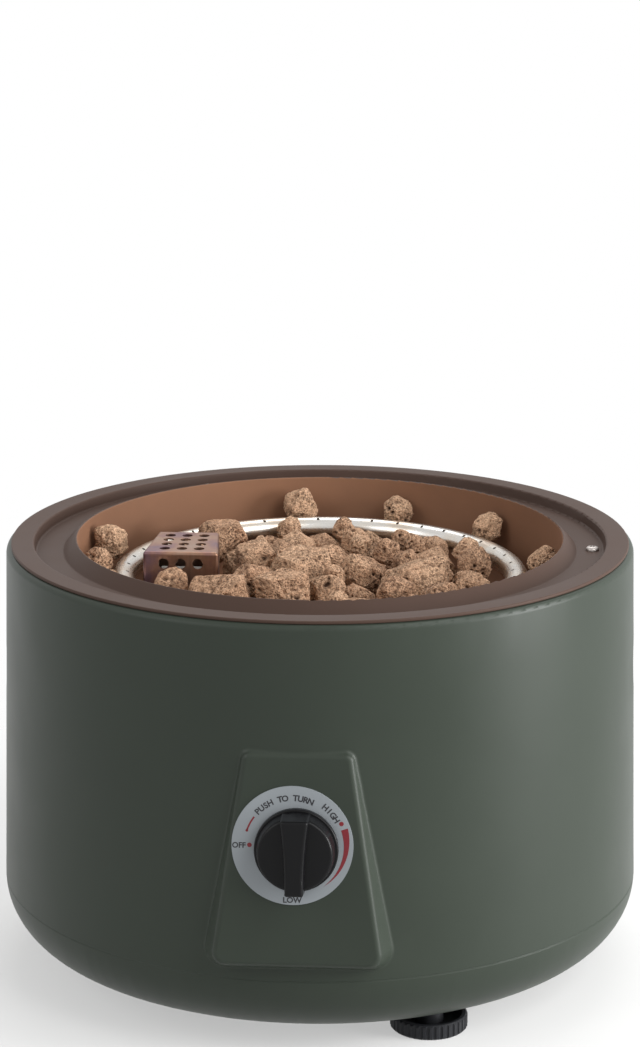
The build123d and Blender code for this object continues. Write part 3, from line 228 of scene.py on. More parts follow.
def feed(tree, socket, value):
    """Link a socket to another, or set its own value."""
    if isinstance(value, bpy.types.NodeSocket):
        tree.links.new(value, socket)
    elif socket.type == "RGBA" and len(value) == 3:
        socket.default_value = (*value, 1.0)
    else:
        socket.default_value = value


def blend_colour(tree, factor, first, second):
    """Colour between two others."""
    made = place(tree, "Mix", {"data_type": "RGBA"})
    for index, value in ((0, factor), (6, first), (7, second)):
        feed(tree, made.inputs[index], value)
    return made.outputs[2]


def ramp_value(tree, value, low, high, to_low=0.0, to_high=1.0):
    """A value moved from one range to another, and kept inside it."""
    made = place(
        tree, "MapRange", Value=value, From_Min=low, From_Max=high, To_Min=to_low, To_Max=to_high
    )
    return made.outputs["Result"]


def sums(tree, operation, first, second):
    """Arithmetic on two values."""
    made = place(tree, "Math", {"operation": operation})
    feed(tree, made.inputs[0], first)
    feed(tree, made.inputs[1], second)
    return made.outputs[0]


def noise_value(tree, coordinates, scale, detail=3.0, roughness=0.55):
    """Noise at a scale given in waves per metre."""
    made = place(tree, "TexNoise", Vector=coordinates, Scale=scale, Detail=detail, Roughness=roughness)
    return made.outputs["Fac"]


def object_place(tree):
    """Coordinates in the object's own frame."""
    return place(tree, "TexCoord").outputs["Object"]


def vector_sums(tree, operation, *values):
    """Node that does arithmetic on vectors."""
    made = place(tree, "VectorMath", {"operation": operation})
    for socket, value in zip(made.inputs, values):
        feed(tree, socket, value)
    return made


def axis_radius(tree, where):
    """Distance from the drum's axis."""
    apart = place(tree, "SeparateXYZ", Vector=where).outputs
    flat = place(tree, "CombineXYZ", X=apart["X"], Y=apart["Y"])
    return vector_sums(tree, "LENGTH", flat.outputs[0]).outputs["Value"]


def shaded(tree, colour, share):
    """A colour made lighter or darker."""
    made = vector_sums(tree, "SCALE", colour)
    feed(tree, made.inputs["Scale"], share)
    return made.outputs[0]


def skin_group(name, inputs):
    """Empty node group that gives colour, roughness and height, and the sockets of its two end nodes."""
    tree = bpy.data.node_groups.new(name, "ShaderNodeTree")
    outputs = {"Colour": "Color", "Roughness": "Float", "Height": "Float"}
    for way, sockets in (("INPUT", inputs), ("OUTPUT", outputs)):
        for label, kind in sockets.items():
            tree.interface.new_socket(label, in_out=way, socket_type=f"NodeSocket{kind}")
    return tree, tree.nodes.new("NodeGroupInput").outputs, tree.nodes.new("NodeGroupOutput").inputs


def coating_group():
    """Sprayed or moulded skin: cloudy colour, fine specks, uneven gloss and a rippled surface."""
    inputs = {"Colour": "Color"} | dict.fromkeys(("Roughness", "Ripple", "Cloud", "Speck"), "Float")
    tree, taken, given = skin_group("Coating skin", inputs)
    where = object_place(tree)
    cloud = noise_value(tree, where, 14.0, 3.0)
    speck = noise_value(tree, where, 2600.0, 1.0)
    ripple = noise_value(tree, where, taken["Ripple"], 2.0)
    lift = sums(tree, "MULTIPLY", sums(tree, "SUBTRACT", cloud, 0.5), taken["Cloud"])
    grain = sums(tree, "MULTIPLY", sums(tree, "SUBTRACT", speck, 0.5), taken["Speck"])
    shade = sums(tree, "ADD", 1.0, sums(tree, "ADD", lift, grain))
    feed(tree, given["Colour"], shaded(tree, taken["Colour"], shade))
    uneven = sums(tree, "MULTIPLY", sums(tree, "SUBTRACT", cloud, 0.5), 0.16)
    feed(tree, given["Roughness"], sums(tree, "ADD", taken["Roughness"], uneven))
    feed(tree, given["Height"], sums(tree, "ADD", ripple, sums(tree, "MULTIPLY", speck, 0.25)))


def metal_group():
    """Bare metal: drawn streaks along one axis, cloudy gloss and the tint that heat leaves."""
    inputs = dict.fromkeys(("Colour", "First tint", "Second tint"), "Color")
    inputs |= {"Heat": "Float", "Roughness": "Float", "Streak": "Vector"}
    tree, taken, given = skin_group("Bare metal", inputs)
    streak = noise_value(tree, taken["Streak"], 1.0, 2.0)
    patch = noise_value(tree, object_place(tree), 38.0, 4.0)
    first = sums(tree, "MULTIPLY", ramp_value(tree, patch, 0.38, 0.60), taken["Heat"])
    second = sums(tree, "MULTIPLY", ramp_value(tree, patch, 0.52, 0.72), taken["Heat"])
    warm = blend_colour(tree, first, taken["Colour"], taken["First tint"])
    burnt = blend_colour(tree, second, warm, taken["Second tint"])
    shade = ramp_value(tree, streak, 0.0, 1.0, 0.86, 1.10)
    feed(tree, given["Colour"], shaded(tree, burnt, shade))
    dull = sums(tree, "MULTIPLY", sums(tree, "ADD", streak, patch), 0.16)
    bright = sums(tree, "SUBTRACT", taken["Roughness"], 0.14)
    feed(tree, given["Roughness"], sums(tree, "ADD", bright, dull))
    feed(tree, given["Height"], streak)


def new_material(name):
    """Material with its tree and its principled shader."""
    material = bpy.data.materials.new(name)
    material.use_nodes = True
    return material, material.node_tree, material.node_tree.nodes["Principled BSDF"]


def bumped(tree, shader, height, distance, strength):
    """Feed a height into the shader's normal."""
    bump = place(tree, "Bump", Strength=strength, Distance=distance, Height=height)
    feed(tree, shader.inputs["Normal"], bump.outputs["Normal"])


def wear_skin(tree, shader, group, inputs, distance, strength):
    """Take the shader's colour, roughness and normal from a node group."""
    skin = place(tree, "Group", {"node_tree": bpy.data.node_groups[group]})
    for label, value in inputs.items():
        feed(tree, skin.inputs[label], value)
    feed(tree, shader.inputs["Base Color"], skin.outputs["Colour"])
    feed(tree, shader.inputs["Roughness"], skin.outputs["Roughness"])
    bumped(tree, shader, skin.outputs["Height"], distance, strength)


def coating_material(name, colour, roughness, ripple, cloud=0.12, speck=0.10, bump=0.10, shine=0.5):
    """Paint, enamel or moulded plastic."""
    material, tree, shader = new_material(name)
    inputs = {
        "Colour": colour,
        "Roughness": roughness,
        "Ripple": 1.0 / ripple,
        "Cloud": cloud,
        "Speck": speck,
    }
    wear_skin(tree, shader, "Coating skin", inputs, 0.0002, bump)
    shader.inputs["Specular IOR Level"].default_value = shine
    return material


def streak_place(tree, stretch, round_axis):
    """Coordinates stretched along the drawing marks, straight or round the drum's axis."""
    where = object_place(tree)
    if round_axis:
        apart = place(tree, "SeparateXYZ", Vector=where).outputs
        turn = sums(tree, "ARCTAN2", apart["Y"], apart["X"])
        far = axis_radius(tree, where)
        where = place(tree, "CombineXYZ", X=far, Y=apart["Z"], Z=turn).outputs[0]
    return vector_sums(tree, "MULTIPLY", where, stretch).outputs[0]


# Waves of the drawing marks per metre along X, Y and Z, or along radius, height and turn.
DRAWN = (900.0, 900.0, 60.0)
ROLLED_ROUND = (1500.0, 1500.0, 9.0)


def metal_material(
    name, colour, roughness, heat=0.0, streak=DRAWN, bump=0.06, round_axis=False, tints=None
):
    """Bare or plated metal, with the two tints that heat leaves on it."""
    settings = bpy.context.scene.fire_pit_metal
    first_tint, second_tint = tints or (settings.straw, settings.bronze)
    material, tree, shader = new_material(name)
    inputs = {
        "Colour": colour,
        "First tint": first_tint,
        "Second tint": second_tint,
        "Heat": heat,
        "Roughness": roughness,
        "Streak": streak_place(tree, ROLLED_ROUND if round_axis else streak, round_axis),
    }
    wear_skin(tree, shader, "Bare metal", inputs, 0.0001, bump)
    shader.inputs["Metallic"].default_value = 1.0
    return material


def dress(material, *nodes):
    """Give CAD nodes a material."""
    for name in nodes:
        for slot in frame["nodes"][name].material_slots:
            slot.material = material


def to_mesh(shape, name):
    """Turn a bmesh into a mesh."""
    mesh = bpy.data.meshes.new(name)
    shape.to_mesh(mesh)
    shape.free()
    return mesh


def put(name, data):
    """New object in the scene."""
    made = bpy.data.objects.new(name, data)
    bpy.context.scene.collection.objects.link(made)
    return made


def finish_piece(shape, name, material, body, stands_for=(), smooth=True):
    """Turn a bmesh into a piece that rides on a body and stands for CAD nodes."""
    for face in shape.faces:
        face.smooth = smooth
    mesh = to_mesh(shape, name)
    mesh.materials.append(material)
    piece = put(name, mesh)
    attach(piece, body)
    if stands_for:
        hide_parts(*stands_for)
    return piece


def join(shape, part, matrix=Matrix.Identity(4)):
    """Add a part to a shape, moved by a matrix."""
    bmesh.ops.transform(part, matrix=matrix, verts=part.verts)
    mesh = to_mesh(part, "part")
    shape.from_mesh(mesh)
    bpy.data.meshes.remove(mesh)


def sharpen(shape, degrees):
    """Mark the edges sharper than an angle, so that smooth shading stops there."""
    angle = math.radians(degrees)
    for edge in shape.edges:
        edge.smooth = len(edge.link_faces) != 2 or edge.calc_face_angle(0.0) < angle


def smooth_copy(node, name, material, body):
    """A merged copy of a CAD node that stands for it, shaded evenly across the joins of its faces."""
    shape = bmesh.new()
    shape.from_mesh(frame["nodes"][node].data)
    bmesh.ops.remove_doubles(shape, verts=shape.verts, dist=WELD)
    sharpen(shape, 60)
    piece = finish_piece(shape, name, material, body, [node])
    old_normals = piece.data.attributes.get("custom_normal")
    if old_normals:
        piece.data.attributes.remove(old_normals)
    piece.modifiers.new("Even shading", "WEIGHTED_NORMAL").keep_sharp = True


def lathe(shape, profile, stand=Matrix.Identity(4), steps=48, closed=False):
    """Spin radius and height points round the Z axis of a stand, and close the poles."""
    part = bmesh.new()
    points = [part.verts.new((radius, 0.0, height)) for radius, height in profile]
    pairs = list(zip(points, points[1:]))
    if closed:
        pairs.append((points[-1], points[0]))
    edges = [part.edges.new(pair) for pair in pairs]
    around = {"cent": (0, 0, 0), "axis": (0, 0, 1), "angle": 2 * math.pi}
    bmesh.ops.spin(part, geom=points + edges, steps=steps, use_merge=True, **around)
    bmesh.ops.remove_doubles(part, verts=part.verts, dist=WELD)
    bmesh.ops.recalc_face_normals(part, faces=part.faces)
    join(shape, part, stand)


def thread(radius, depth, pitch, low, high):
    """Radius and height points of a thread's ridges."""
    count = max(1, round((high - low) / pitch))
    step = (high - low) / count
    points = [(radius - depth, low)]
    for turn in range(count):
        base = low + turn * step
        points += [(radius, base + 0.4 * step), (radius, base + 0.6 * step), (radius - depth, base + step)]
    return points


class FIREPIT_OT_paintwork(bpy.types.Operator):
    """Paint the drum and its base pan"""

    bl_idname = "fire_pit.paintwork"
    bl_label = "Paintwork"

    def execute(self, context):
        settings = context.scene.fire_pit_paint
        matt, shine = settings.green_roughness, settings.green_shine
        paint = coating_material("Drum paint", settings.green, matt, settings.peel, shine=shine)
        smooth_copy("drum_shell", "drum_skin", paint, "housing")
        smooth_copy("base_pan", "base_skin", paint, "housing")
        thick = settings.bead / 2
        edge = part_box("base_pan")[1].x - thick
        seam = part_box("drum_shell")[0].z - thick / 2
        round_edge = []
        for degrees in range(-90, 91, 30):
            turn = math.radians(degrees)
            round_edge.append((edge + thick * 0.8 * math.cos(turn), seam + thick * math.sin(turn)))
        shape = bmesh.new()
        lathe(shape, round_edge, steps=160, closed=True)
        finish_piece(shape, "seam_bead", paint, "housing")
        return {"FINISHED"}


class FIREPIT_OT_bowl(bpy.types.Operator):
    """Enamel the bowl, scorched and lightened with painted flame light on the inside"""

    bl_idname = "fire_pit.bowl"
    bl_label = "Fire bowl"

    # Radii where the scorched inside, lightened with painted flame light, and the rim's own colour begin.
    wall = 0.1551
    lip_edge = 0.1557

    def execute(self, context):
        settings = context.scene.fire_pit_paint
        matt, shine = settings.enamel_roughness, settings.enamel_shine
        material = coating_material(
            "Bowl enamel", settings.enamel, matt, settings.peel, cloud=0.2, bump=0.07, shine=shine
        )
        tree = material.node_tree
        shader = tree.nodes["Principled BSDF"]
        where = object_place(tree)
        inside = ramp_value(tree, axis_radius(tree, where), self.lip_edge, self.wall)
        streaky = place(tree, "Mapping", Vector=where, Scale=(11.0, 11.0, 16.0))
        soot = ramp_value(tree, noise_value(tree, streaky.outputs[0], 1.0, 4.0), 0.30, 0.75)
        # Painted flame light and heat tint: the inside goes over to the lighter, warmer scorched colour,
        # streaked with soot.
        scorch_and_flame_light_mask = sums(tree, "MULTIPLY", inside, sums(tree, "ADD", 0.7, sums(tree, "MULTIPLY", soot, 0.3)))
        enamel = shader.inputs["Base Color"].links[0].from_socket
        feed(tree, shader.inputs["Base Color"], blend_colour(tree, scorch_and_flame_light_mask, enamel, settings.scorch_and_flame_light))
        gloss = shader.inputs["Roughness"].links[0].from_socket
        duller = sums(tree, "ADD", gloss, sums(tree, "MULTIPLY", scorch_and_flame_light_mask, 0.18))
        feed(tree, shader.inputs["Roughness"], duller)
        smooth_copy("fire_bowl", "bowl_skin", material, "housing")
        return {"FINISHED"}


class FIREPIT_OT_burner(bpy.types.Operator):
    """Finish the burner ring, its tee and stands, and the igniter under its hood"""

    bl_idname = "fire_pit.burner"
    bl_label = "Burner and igniter"

    ceramic = (0.80, 0.78, 0.72)
    rubber = (0.022, 0.022, 0.024)

    def execute(self, context):
        metal = context.scene.fire_pit_metal
        tube = metal_material("Burner tube", metal.stainless, 0.26, heat=0.30, round_axis=True)
        sheet = metal_material("Hood sheet", metal.hood, 0.40, heat=0.9, tints=(metal.bronze, metal.plum))
        dress(tube, "burner_ring", "burner_tee", "burner_supports", "spark_rod")
        dress(sheet, "igniter_hood", "electrode_bracket")
        copper = metal_material("Thermocouple copper", metal.copper, 0.36, heat=0.4)
        dress(copper, "thermocouple", "thermocouple_lead")
        dress(coating_material("Spark ceramic", self.ceramic, 0.5, 0.0008, bump=0.05), "spark_insulator")
        dress(coating_material("Lead rubber", self.rubber, 0.6, 0.0009), "ignition_lead")
        return {"FINISHED"}


class FIREPIT_OT_rim_screws(bpy.types.Operator):
    """Make the pan-head screws in the rim's groove, with a cross recess"""

    bl_idname = "fire_pit.rim_screws"
    bl_label = "Rim screws"

    head_radius = 0.00425
    head_height = 0.0028
    head_round = ((1.0, 0.0), (1.0, 0.30), (0.93, 0.58), (0.76, 0.82), (0.48, 0.96), (0.0, 1.0))
    slot_width = 0.0011
    slot_length = 0.0021
    slot_depth = 0.0014
    shank_radius = 0.0025
    ridge = 0.0004
    pitch = 0.0008
    count = 3
    seed = 3

    def screw_head(self, shape):
        """One head standing on Z = 0, with its cross pressed in."""
        profile = [(0.0, 0.0)]
        for share_r, share_h in self.head_round:
            profile.append((self.head_radius * share_r, self.head_height * share_h))
        lathe(shape, profile, steps=32)
        for axis in (Vector((1, 0, 0)), Vector((0, 1, 0))):
            for offset in (-self.slot_length, -self.slot_width / 2, self.slot_width / 2, self.slot_length):
                whole = shape.verts[:] + shape.edges[:] + shape.faces[:]
                bmesh.ops.bisect_plane(shape, geom=whole, plane_co=axis * offset, plane_no=axis)
        pressed = []
        for face in shape.faces:
            middle = face.calc_center_median()
            narrow, wide = sorted((abs(middle.x), abs(middle.y)))
            if face.normal.z > 0.1 and narrow < self.slot_width / 2 and wide < self.slot_length:
                pressed.append(face)
        sunk = bmesh.ops.extrude_face_region(shape, geom=pressed)
        bmesh.ops.delete(shape, geom=pressed, context="FACES_ONLY")
        floor = [part for part in sunk["geom"] if isinstance(part, bmesh.types.BMVert)]
        bmesh.ops.scale(shape, vec=(0.8, 0.8, 0.0), verts=floor)
        bmesh.ops.translate(shape, vec=(0, 0, self.head_height - self.slot_depth), verts=floor)

    def execute(self, context):
        low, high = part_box("rim_screws")
        seat = high.z - self.head_height
        screws = frame["nodes"]["rim_screws"].data
        circle = max(v.co.xy.length for v in screws.vertices) - self.head_radius
        shape = bmesh.new()
        turns = random.Random(self.seed)
        for number in range(self.count):
            single = bmesh.new()
            self.screw_head(single)
            ridges = thread(self.shank_radius, self.ridge, self.pitch, low.z - seat, 0.0)
            lathe(single, [(0.0, low.z - seat), *ridges, (0.0, 0.0)], steps=20)
            stand = (
                Matrix.Rotation(math.radians(360 / self.count * number), 4, "Z")
                @ Matrix.Translation((circle, 0, seat))
                @ Matrix.Rotation(turns.uniform(0, math.pi), 4, "Z")
            )
            join(shape, single, stand)
        sharpen(shape, 35)
        plated = metal_material("Bright zinc", context.scene.fire_pit_metal.screw, 0.42)
        finish_piece(shape, "rim_screw_set", plated, "housing", ["rim_screws"])
        dress(plated, "valve_screws")
        return {"FINISHED"}


class FIREPIT_OT_lava_rock(bpy.types.Operator):
    """Work the stones: worn corners, lumps and open pores"""

    bl_idname = "fire_pit.lava_rock"
    bl_label = "Lava rock"

    # Levels of the balls that are drawn onto the stones, and the edge of the first one on a unit ball.
    coarsest, finest = 4, 6
    ball_edge = 1.05
    # Stones with more faces than this are large, and this many of them make one piece.
    large_faces = 10000
    large_in_piece = 8
    # Millimetres across the broad swellings, the lumps, the crags, the open pores and the small hollows.
    swell_size, lump_size, crag_size, pore_size, hollow_size = 15.0, 7.5, 4.0, 6.0, 3.3
    # How far from the middle of its cell a pore and a hollow reach.
    pore_reach, hollow_reach = 0.44, 0.46
    # Share of the lumps' depth on the undersides, where the stones lie on each other.
    under_share = 0.35

    def stone_shapes(self):
        """The CAD stones as separate sets of faces."""
        whole = bmesh.new()
        whole.from_mesh(frame["nodes"]["lava_rocks"].data)
        bmesh.ops.remove_doubles(whole, verts=whole.verts, dist=WELD)
        bmesh.ops.dissolve_limit(whole, angle_limit=math.radians(1), verts=whole.verts, edges=whole.edges)
        whole.faces.index_update()
        left = set(whole.faces)
        stones = []
        while left:
            stone = [left.pop()]
            for face in stone:
                near = left.intersection(other for edge in face.edges for other in edge.link_faces)
                left -= near
                stone += near
            single = bmesh.new()
            known = {}
            for face in sorted(stone, key=lambda face: face.index):
                for vertex in face.verts:
                    if vertex not in known:
                        known[vertex] = single.verts.new(vertex.co)
                single.faces.new([known[vertex] for vertex in face.verts])
            stones.append(single)
        whole.free()
        stones.sort(key=lambda stone: tuple(round(x, 5) for x in min(v.co[:] for v in stone.verts)))
        return stones

    def cup(self, spot, radius):
        """Depth of a round pore, 1 in its middle and 0 from its radius outwards."""
        return max(0.0, 1.0 - (noise.voronoi(spot)[0][0] / radius) ** 2)

    def roughen(self, block, settings, chance):
        """A ball drawn onto one CAD stone, its corners worn and lumps and pores pressed into it."""
        surface = BVHTree.FromBMesh(block)
        centre = sum((vertex.co for vertex in block.verts), Vector()) / len(block.verts)
        size = sum((vertex.co - centre).length for vertex in block.verts) / len(block.verts)
        block.free()
        level = self.coarsest
        while level < self.finest and self.ball_edge * size / 2 ** (level - 1) > settings.mesh_size:
            level += 1
        step = self.ball_edge * size / 2 ** (level - 1)
        stone = bmesh.new()
        bmesh.ops.create_icosphere(stone, subdivisions=level, radius=1.0)
        for vertex in stone.verts:
            vertex.co = surface.ray_cast(centre, vertex.co)[0]
        for _ in range(round((settings.corner / (0.7 * step)) ** 2)):
            bmesh.ops.smooth_vert(
                stone, verts=stone.verts, factor=0.5, use_axis_x=True, use_axis_y=True, use_axis_z=True
            )
        stone.normal_update()
        shift = Vector((chance.uniform(0, 90), chance.uniform(0, 90), chance.uniform(0, 90)))
        depth_layer = stone.verts.layers.float.new("pore_depth")
        moved = []
        for vertex in stone.verts:
            spot = vertex.co * 1000 + shift
            sizes = (self.swell_size, self.lump_size, self.crag_size)
            swell, lump, crag = (0.5 + 0.5 * noise.noise(spot / across) for across in sizes)
            pore = self.cup(spot / self.pore_size, self.pore_reach) * min(1.0, 2.2 * crag * lump)
            pit = min(1.0, pore + 0.55 * self.cup(spot / self.hollow_size, self.hollow_reach))
            # The pit depth is kept for the material, which darkens the pits with it as painted shade.
            vertex[depth_layer] = pit
            under = self.under_share if vertex.normal.z < -0.4 else 1.0
            depth = under * settings.lump * (0.5 * swell + 0.3 * lump + 0.2 * crag) + settings.pit * pit
            moved.append(vertex.co - vertex.normal * depth)
        for vertex, spot in zip(stone.verts, moved):
            vertex.co = spot
        return stone

    def execute(self, context):
        settings = context.scene.fire_pit_stones
        chance = random.Random(settings.seed)
        material = self.stone_material(settings)
        beds = {"lava_rock_middle": bmesh.new(), "lava_rock_edge": bmesh.new()}
        large = 0
        for block in self.stone_shapes():
            stone = self.roughen(block, settings, chance)
            tone = stone.verts.layers.float.new("stone_tone")
            shade = chance.random()
            for vertex in stone.verts:
                vertex[tone] = shade
            centre = sum((vertex.co for vertex in stone.verts), Vector()) / len(stone.verts)
            bed = "lava_rock_middle" if centre.xy.length < settings.middle else "lava_rock_edge"
            if len(stone.faces) > self.large_faces:
                bed = f"lava_rock_large_{1 + large // self.large_in_piece}"
                large += 1
            if bed not in beds:
                beds[bed] = bmesh.new()
            join(beds[bed], stone)
        for name, shape in beds.items():
            finish_piece(shape, name, material, "housing", ["lava_rocks"])
        return {"FINISHED"}

    def stone_material(self, settings):
        """Porous brown stone, its tone set stone by stone, with painted shade in its pores and pits."""
        material, tree, shader = new_material("Lava rock")
        where = object_place(tree)
        tone = place(tree, "Attribute", {"attribute_name": "stone_tone"})
        wander = place(tree, "TexNoise", Vector=where, Scale=150.0, Detail=2.0).outputs["Color"]
        drift = vector_sums(tree, "MULTIPLY_ADD", wander, (0.004, 0.004, 0.004), where).outputs[0]
        pores = []
        for scale, open_to in ((430.0, 0.44), (700.0, 0.48), (1300.0, 0.50)):
            cells = place(tree, "TexVoronoi", Vector=drift, Scale=scale, Randomness=1.0)
            pores.append(ramp_value(tree, cells.outputs["Distance"], 0.14, open_to, 1.0, 0.0))
        crowd = ramp_value(tree, noise_value(tree, where, 60.0, 2.0), 0.32, 0.58, 0.35, 1.0)
        wide_pores = sums(tree, "MAXIMUM", pores[0], sums(tree, "MULTIPLY", pores[1], 0.8))
        open_pores = sums(tree, "MULTIPLY", crowd, wide_pores)
        pits = sums(tree, "MAXIMUM", open_pores, sums(tree, "MULTIPLY", pores[2], 0.5))
        worked = place(tree, "Attribute", {"attribute_name": "pore_depth"})
        sunk = ramp_value(tree, worked.outputs["Fac"], 0.15, 0.9)
        # Painted shade: the shader's small pores and the pits pressed into the mesh are darkened towards
        # the pore colour.
        dark = sums(tree, "MAXIMUM", sums(tree, "MULTIPLY", pits, 0.8), sunk)
        patch = ramp_value(tree, noise_value(tree, where, 90.0, 5.0, 0.65), 0.30, 0.70)
        mixed = sums(tree, "MULTIPLY", sums(tree, "ADD", tone.outputs["Fac"], patch), 0.55)
        body = blend_colour(tree, mixed, settings.umber, settings.tan)
        feed(tree, shader.inputs["Base Color"], blend_colour(tree, dark, body, settings.pore))
        shader.inputs["Roughness"].default_value = 0.92
        shader.inputs["Specular IOR Level"].default_value = 0.25
        grit = noise_value(tree, where, 1700.0, 3.0)
        height = sums(tree, "SUBTRACT", sums(tree, "MULTIPLY", grit, 0.35), pits)
        bumped(tree, shader, height, 0.0014, 1.0)
        return material


class FIREPIT_OT_dial(bpy.types.Operator):
    """Finish the dial plate and print its words and red marks"""

    bl_idname = "fire_pit.dial"
    bl_label = "Dial print"

    # Words along the rim: radius in millimetres, first letter's angle, and angle from letter to letter.
    arched = (("PUSH TO TURN", 28.8, -45.6, 6.12), ("HIGH", 30.4, 39.4, 6.1))
    # Level words: height and place in millimetres.
    level = (("OFF", 3.5, (-31.4, 0)), ("LOW", 3.6, (0, -32.5)))
    # Round marks: radius, angle and size.
    dots = ((31.7, 64.3, 1.35), (25.2, -90.0, 1.35), (28.1, -72.0, 0.8))
    # Bands: inner and outer radius, first and last angle, and radius of the tail.
    bands = ((30.0, 34.2, 71.0, 143.0, 30.3), (27.6, 28.6, -72.0, -53.0, 28.6))

    def word_shape(self, words, height):
        """Flat letters, centred on the origin, with their capitals a given height."""
        curve = bpy.data.curves.new("letters", "FONT")
        curve.body = words
        curve.align_x = "CENTER"
        curve.resolution_u = 4
        curve.offset = bpy.context.scene.fire_pit_dial.bold
        holder = put("letters", curve)
        bpy.context.view_layer.update()
        mesh = bpy.data.meshes.new_from_object(holder)
        bpy.data.objects.remove(holder)
        bpy.data.curves.remove(curve)
        word = bmesh.new()
        word.from_mesh(mesh)
        bpy.data.meshes.remove(mesh)
        bmesh.ops.remove_doubles(word, verts=word.verts, dist=1e-5)
        tall = max(v.co.y for v in word.verts) - min(0.0, min(v.co.y for v in word.verts))
        bmesh.ops.scale(word, vec=(height / tall,) * 3, verts=word.verts)
        bmesh.ops.translate(word, vec=(0, -height / 2, 0), verts=word.verts)
        return word

    def around(self, radius, clock):
        """Place on the dial at a radius and an angle clockwise from the top, turned to stand on the rim."""
        turn = math.radians(clock)
        spot = (radius * math.sin(turn), radius * math.cos(turn), 0)
        return Matrix.Translation(spot) @ Matrix.Rotation(-turn, 4, "Z")

    def sweep(self, shape, inner, outer, first, last, tail):
        """Band along the rim whose outer edge closes in to a tail."""
        band = bmesh.new()
        points = [band.verts.new((0, inner, 0)), band.verts.new((0, outer, 0))]
        edge = band.edges.new(points)
        angle = math.radians(last - first)
        around = {"cent": (0, 0, 0), "axis": (0, 0, -1), "angle": angle}
        bmesh.ops.spin(band, geom=points + [edge], steps=28, use_merge=False, **around)
        for vertex in band.verts:
            share = math.atan2(vertex.co.x, vertex.co.y) / angle
            goal = inner + (tail - inner) * share
            wide = (outer - inner) * (1 - share) if vertex.co.length > (inner + outer) / 2 else 0.0
            if tail != outer:
                vertex.co = vertex.co.normalized() * (goal + wide)
        join(shape, band, Matrix.Rotation(-math.radians(first), 4, "Z"))

    def print_piece(self, shape, name, material, settings):
        """Give flat marks their thickness and put them on the plate."""
        bmesh.ops.recalc_face_normals(shape, faces=shape.faces)
        spot = Vector()
        spot.x = (reach("dial_plate", pad_right) - reach("dial_plate", -pad_right)) / 2
        spot.y = (reach("dial_plate", pad_up) - reach("dial_plate", -pad_up)) / 2
        spot.z = reach("dial_plate", pad_out)
        raised = bmesh.ops.extrude_face_region(shape, geom=shape.faces[:])
        top = [part for part in raised["geom"] if isinstance(part, bmesh.types.BMVert)]
        bmesh.ops.translate(shape, vec=(0, 0, settings.print_height), verts=top)
        bmesh.ops.recalc_face_normals(shape, faces=shape.faces)
        bmesh.ops.transform(shape, matrix=pad_frame @ Matrix.Translation(spot), verts=shape.verts)
        finish_piece(shape, name, material, "housing", smooth=False)

    def execute(self, context):
        settings = context.scene.fire_pit_dial
        words = bmesh.new()
        for word, radius, first, step in self.arched:
            for number, letter in enumerate(word):
                if letter != " ":
                    stand = self.around(radius * MM, first + number * step)
                    join(words, self.word_shape(letter, settings.letter), stand)
        for word, height, (right, up) in self.level:
            join(words, self.word_shape(word, height * MM), Matrix.Translation((right * MM, up * MM, 0)))
        ink = coating_material("Dial ink", settings.ink, 0.5, 0.0006, bump=0.03)
        self.print_piece(words, "dial_words", ink, settings)
        marks = bmesh.new()
        for radius, clock, size in self.dots:
            mark = bmesh.new()
            bmesh.ops.create_circle(mark, cap_ends=True, segments=24, radius=size * MM)
            join(marks, mark, self.around(radius * MM, clock))
        for inner, outer, first, last, tail in self.bands:
            self.sweep(marks, inner * MM, outer * MM, first, last, tail * MM)
        red = coating_material("Dial red", settings.red, 0.45, 0.0006, bump=0.03)
        self.print_piece(marks, "dial_marks", red, settings)
        plate = coating_material(
            "Dial plate", settings.face, 0.46, 0.0010, cloud=0.06, speck=0.05, bump=0.04, shine=0.3
        )
        dress(plate, "dial_plate")
        return {"FINISHED"}


class FIREPIT_OT_control(bpy.types.Operator):
    """Finish the knob and the valve behind it, and wind the return spring"""

    bl_idname = "fire_pit.control"
    bl_label = "Knob and valve"

    wire = 0.00045
    coil = 0.0047
    turns = 4
    steps_in_turn = 24
    wire_sides = 8

    def execute(self, context):
        settings = context.scene.fire_pit_dial
        metal = context.scene.fire_pit_metal
        plastic = coating_material(
            "Knob plastic", settings.knob, 0.30, 0.0007, speck=0.3, bump=0.05, shine=0.15
        )
        dress(plastic, "knob")
        dress(coating_material("Piezo plastic", settings.foot, 0.5, 0.0010), "piezo_unit")
        cast = metal_material("Cast alloy", metal.alloy, 0.46, streak=(400.0, 400.0, 400.0), bump=0.2)
        dress(cast, "valve_body", "valve_bonnet", "venturi_tube")
        zinc = metal_material("Zinc plate", metal.zinc, 0.34)
        dress(zinc, "valve_stem", "rim_nuts", "bowl_brackets", "burner_locknut", "foot_bushes")
        back = -reach("return_spring", -pad_out)
        front = reach("return_spring", pad_out)
        run = front - back - 2 * self.wire
        steps = self.steps_in_turn * self.turns
        spring = bmesh.new()
        bmesh.ops.create_circle(spring, cap_ends=False, segments=self.wire_sides, radius=self.wire)
        upright = Matrix.Translation((self.coil, 0, 0)) @ Matrix.Rotation(math.pi / 2, 4, "X")
        bmesh.ops.transform(spring, matrix=upright, verts=spring.verts)
        around = {"cent": (0, 0, 0), "axis": (0, 0, 1), "angle": 2 * math.pi * self.turns}
        ring = spring.verts[:] + spring.edges[:]
        bmesh.ops.spin(spring, geom=ring, dvec=(0, 0, run / steps), steps=steps, use_merge=False, **around)
        bmesh.ops.holes_fill(spring, edges=spring.edges)
        bmesh.ops.recalc_face_normals(spring, faces=spring.faces)
        stand = pad_frame @ Matrix.Translation((0, 0, back + self.wire))
        bmesh.ops.transform(spring, matrix=stand, verts=spring.verts)
        piece = finish_piece(spring, "spring_coil", zinc, "plug", ["return_spring"])
        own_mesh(piece)
        return {"FINISHED"}


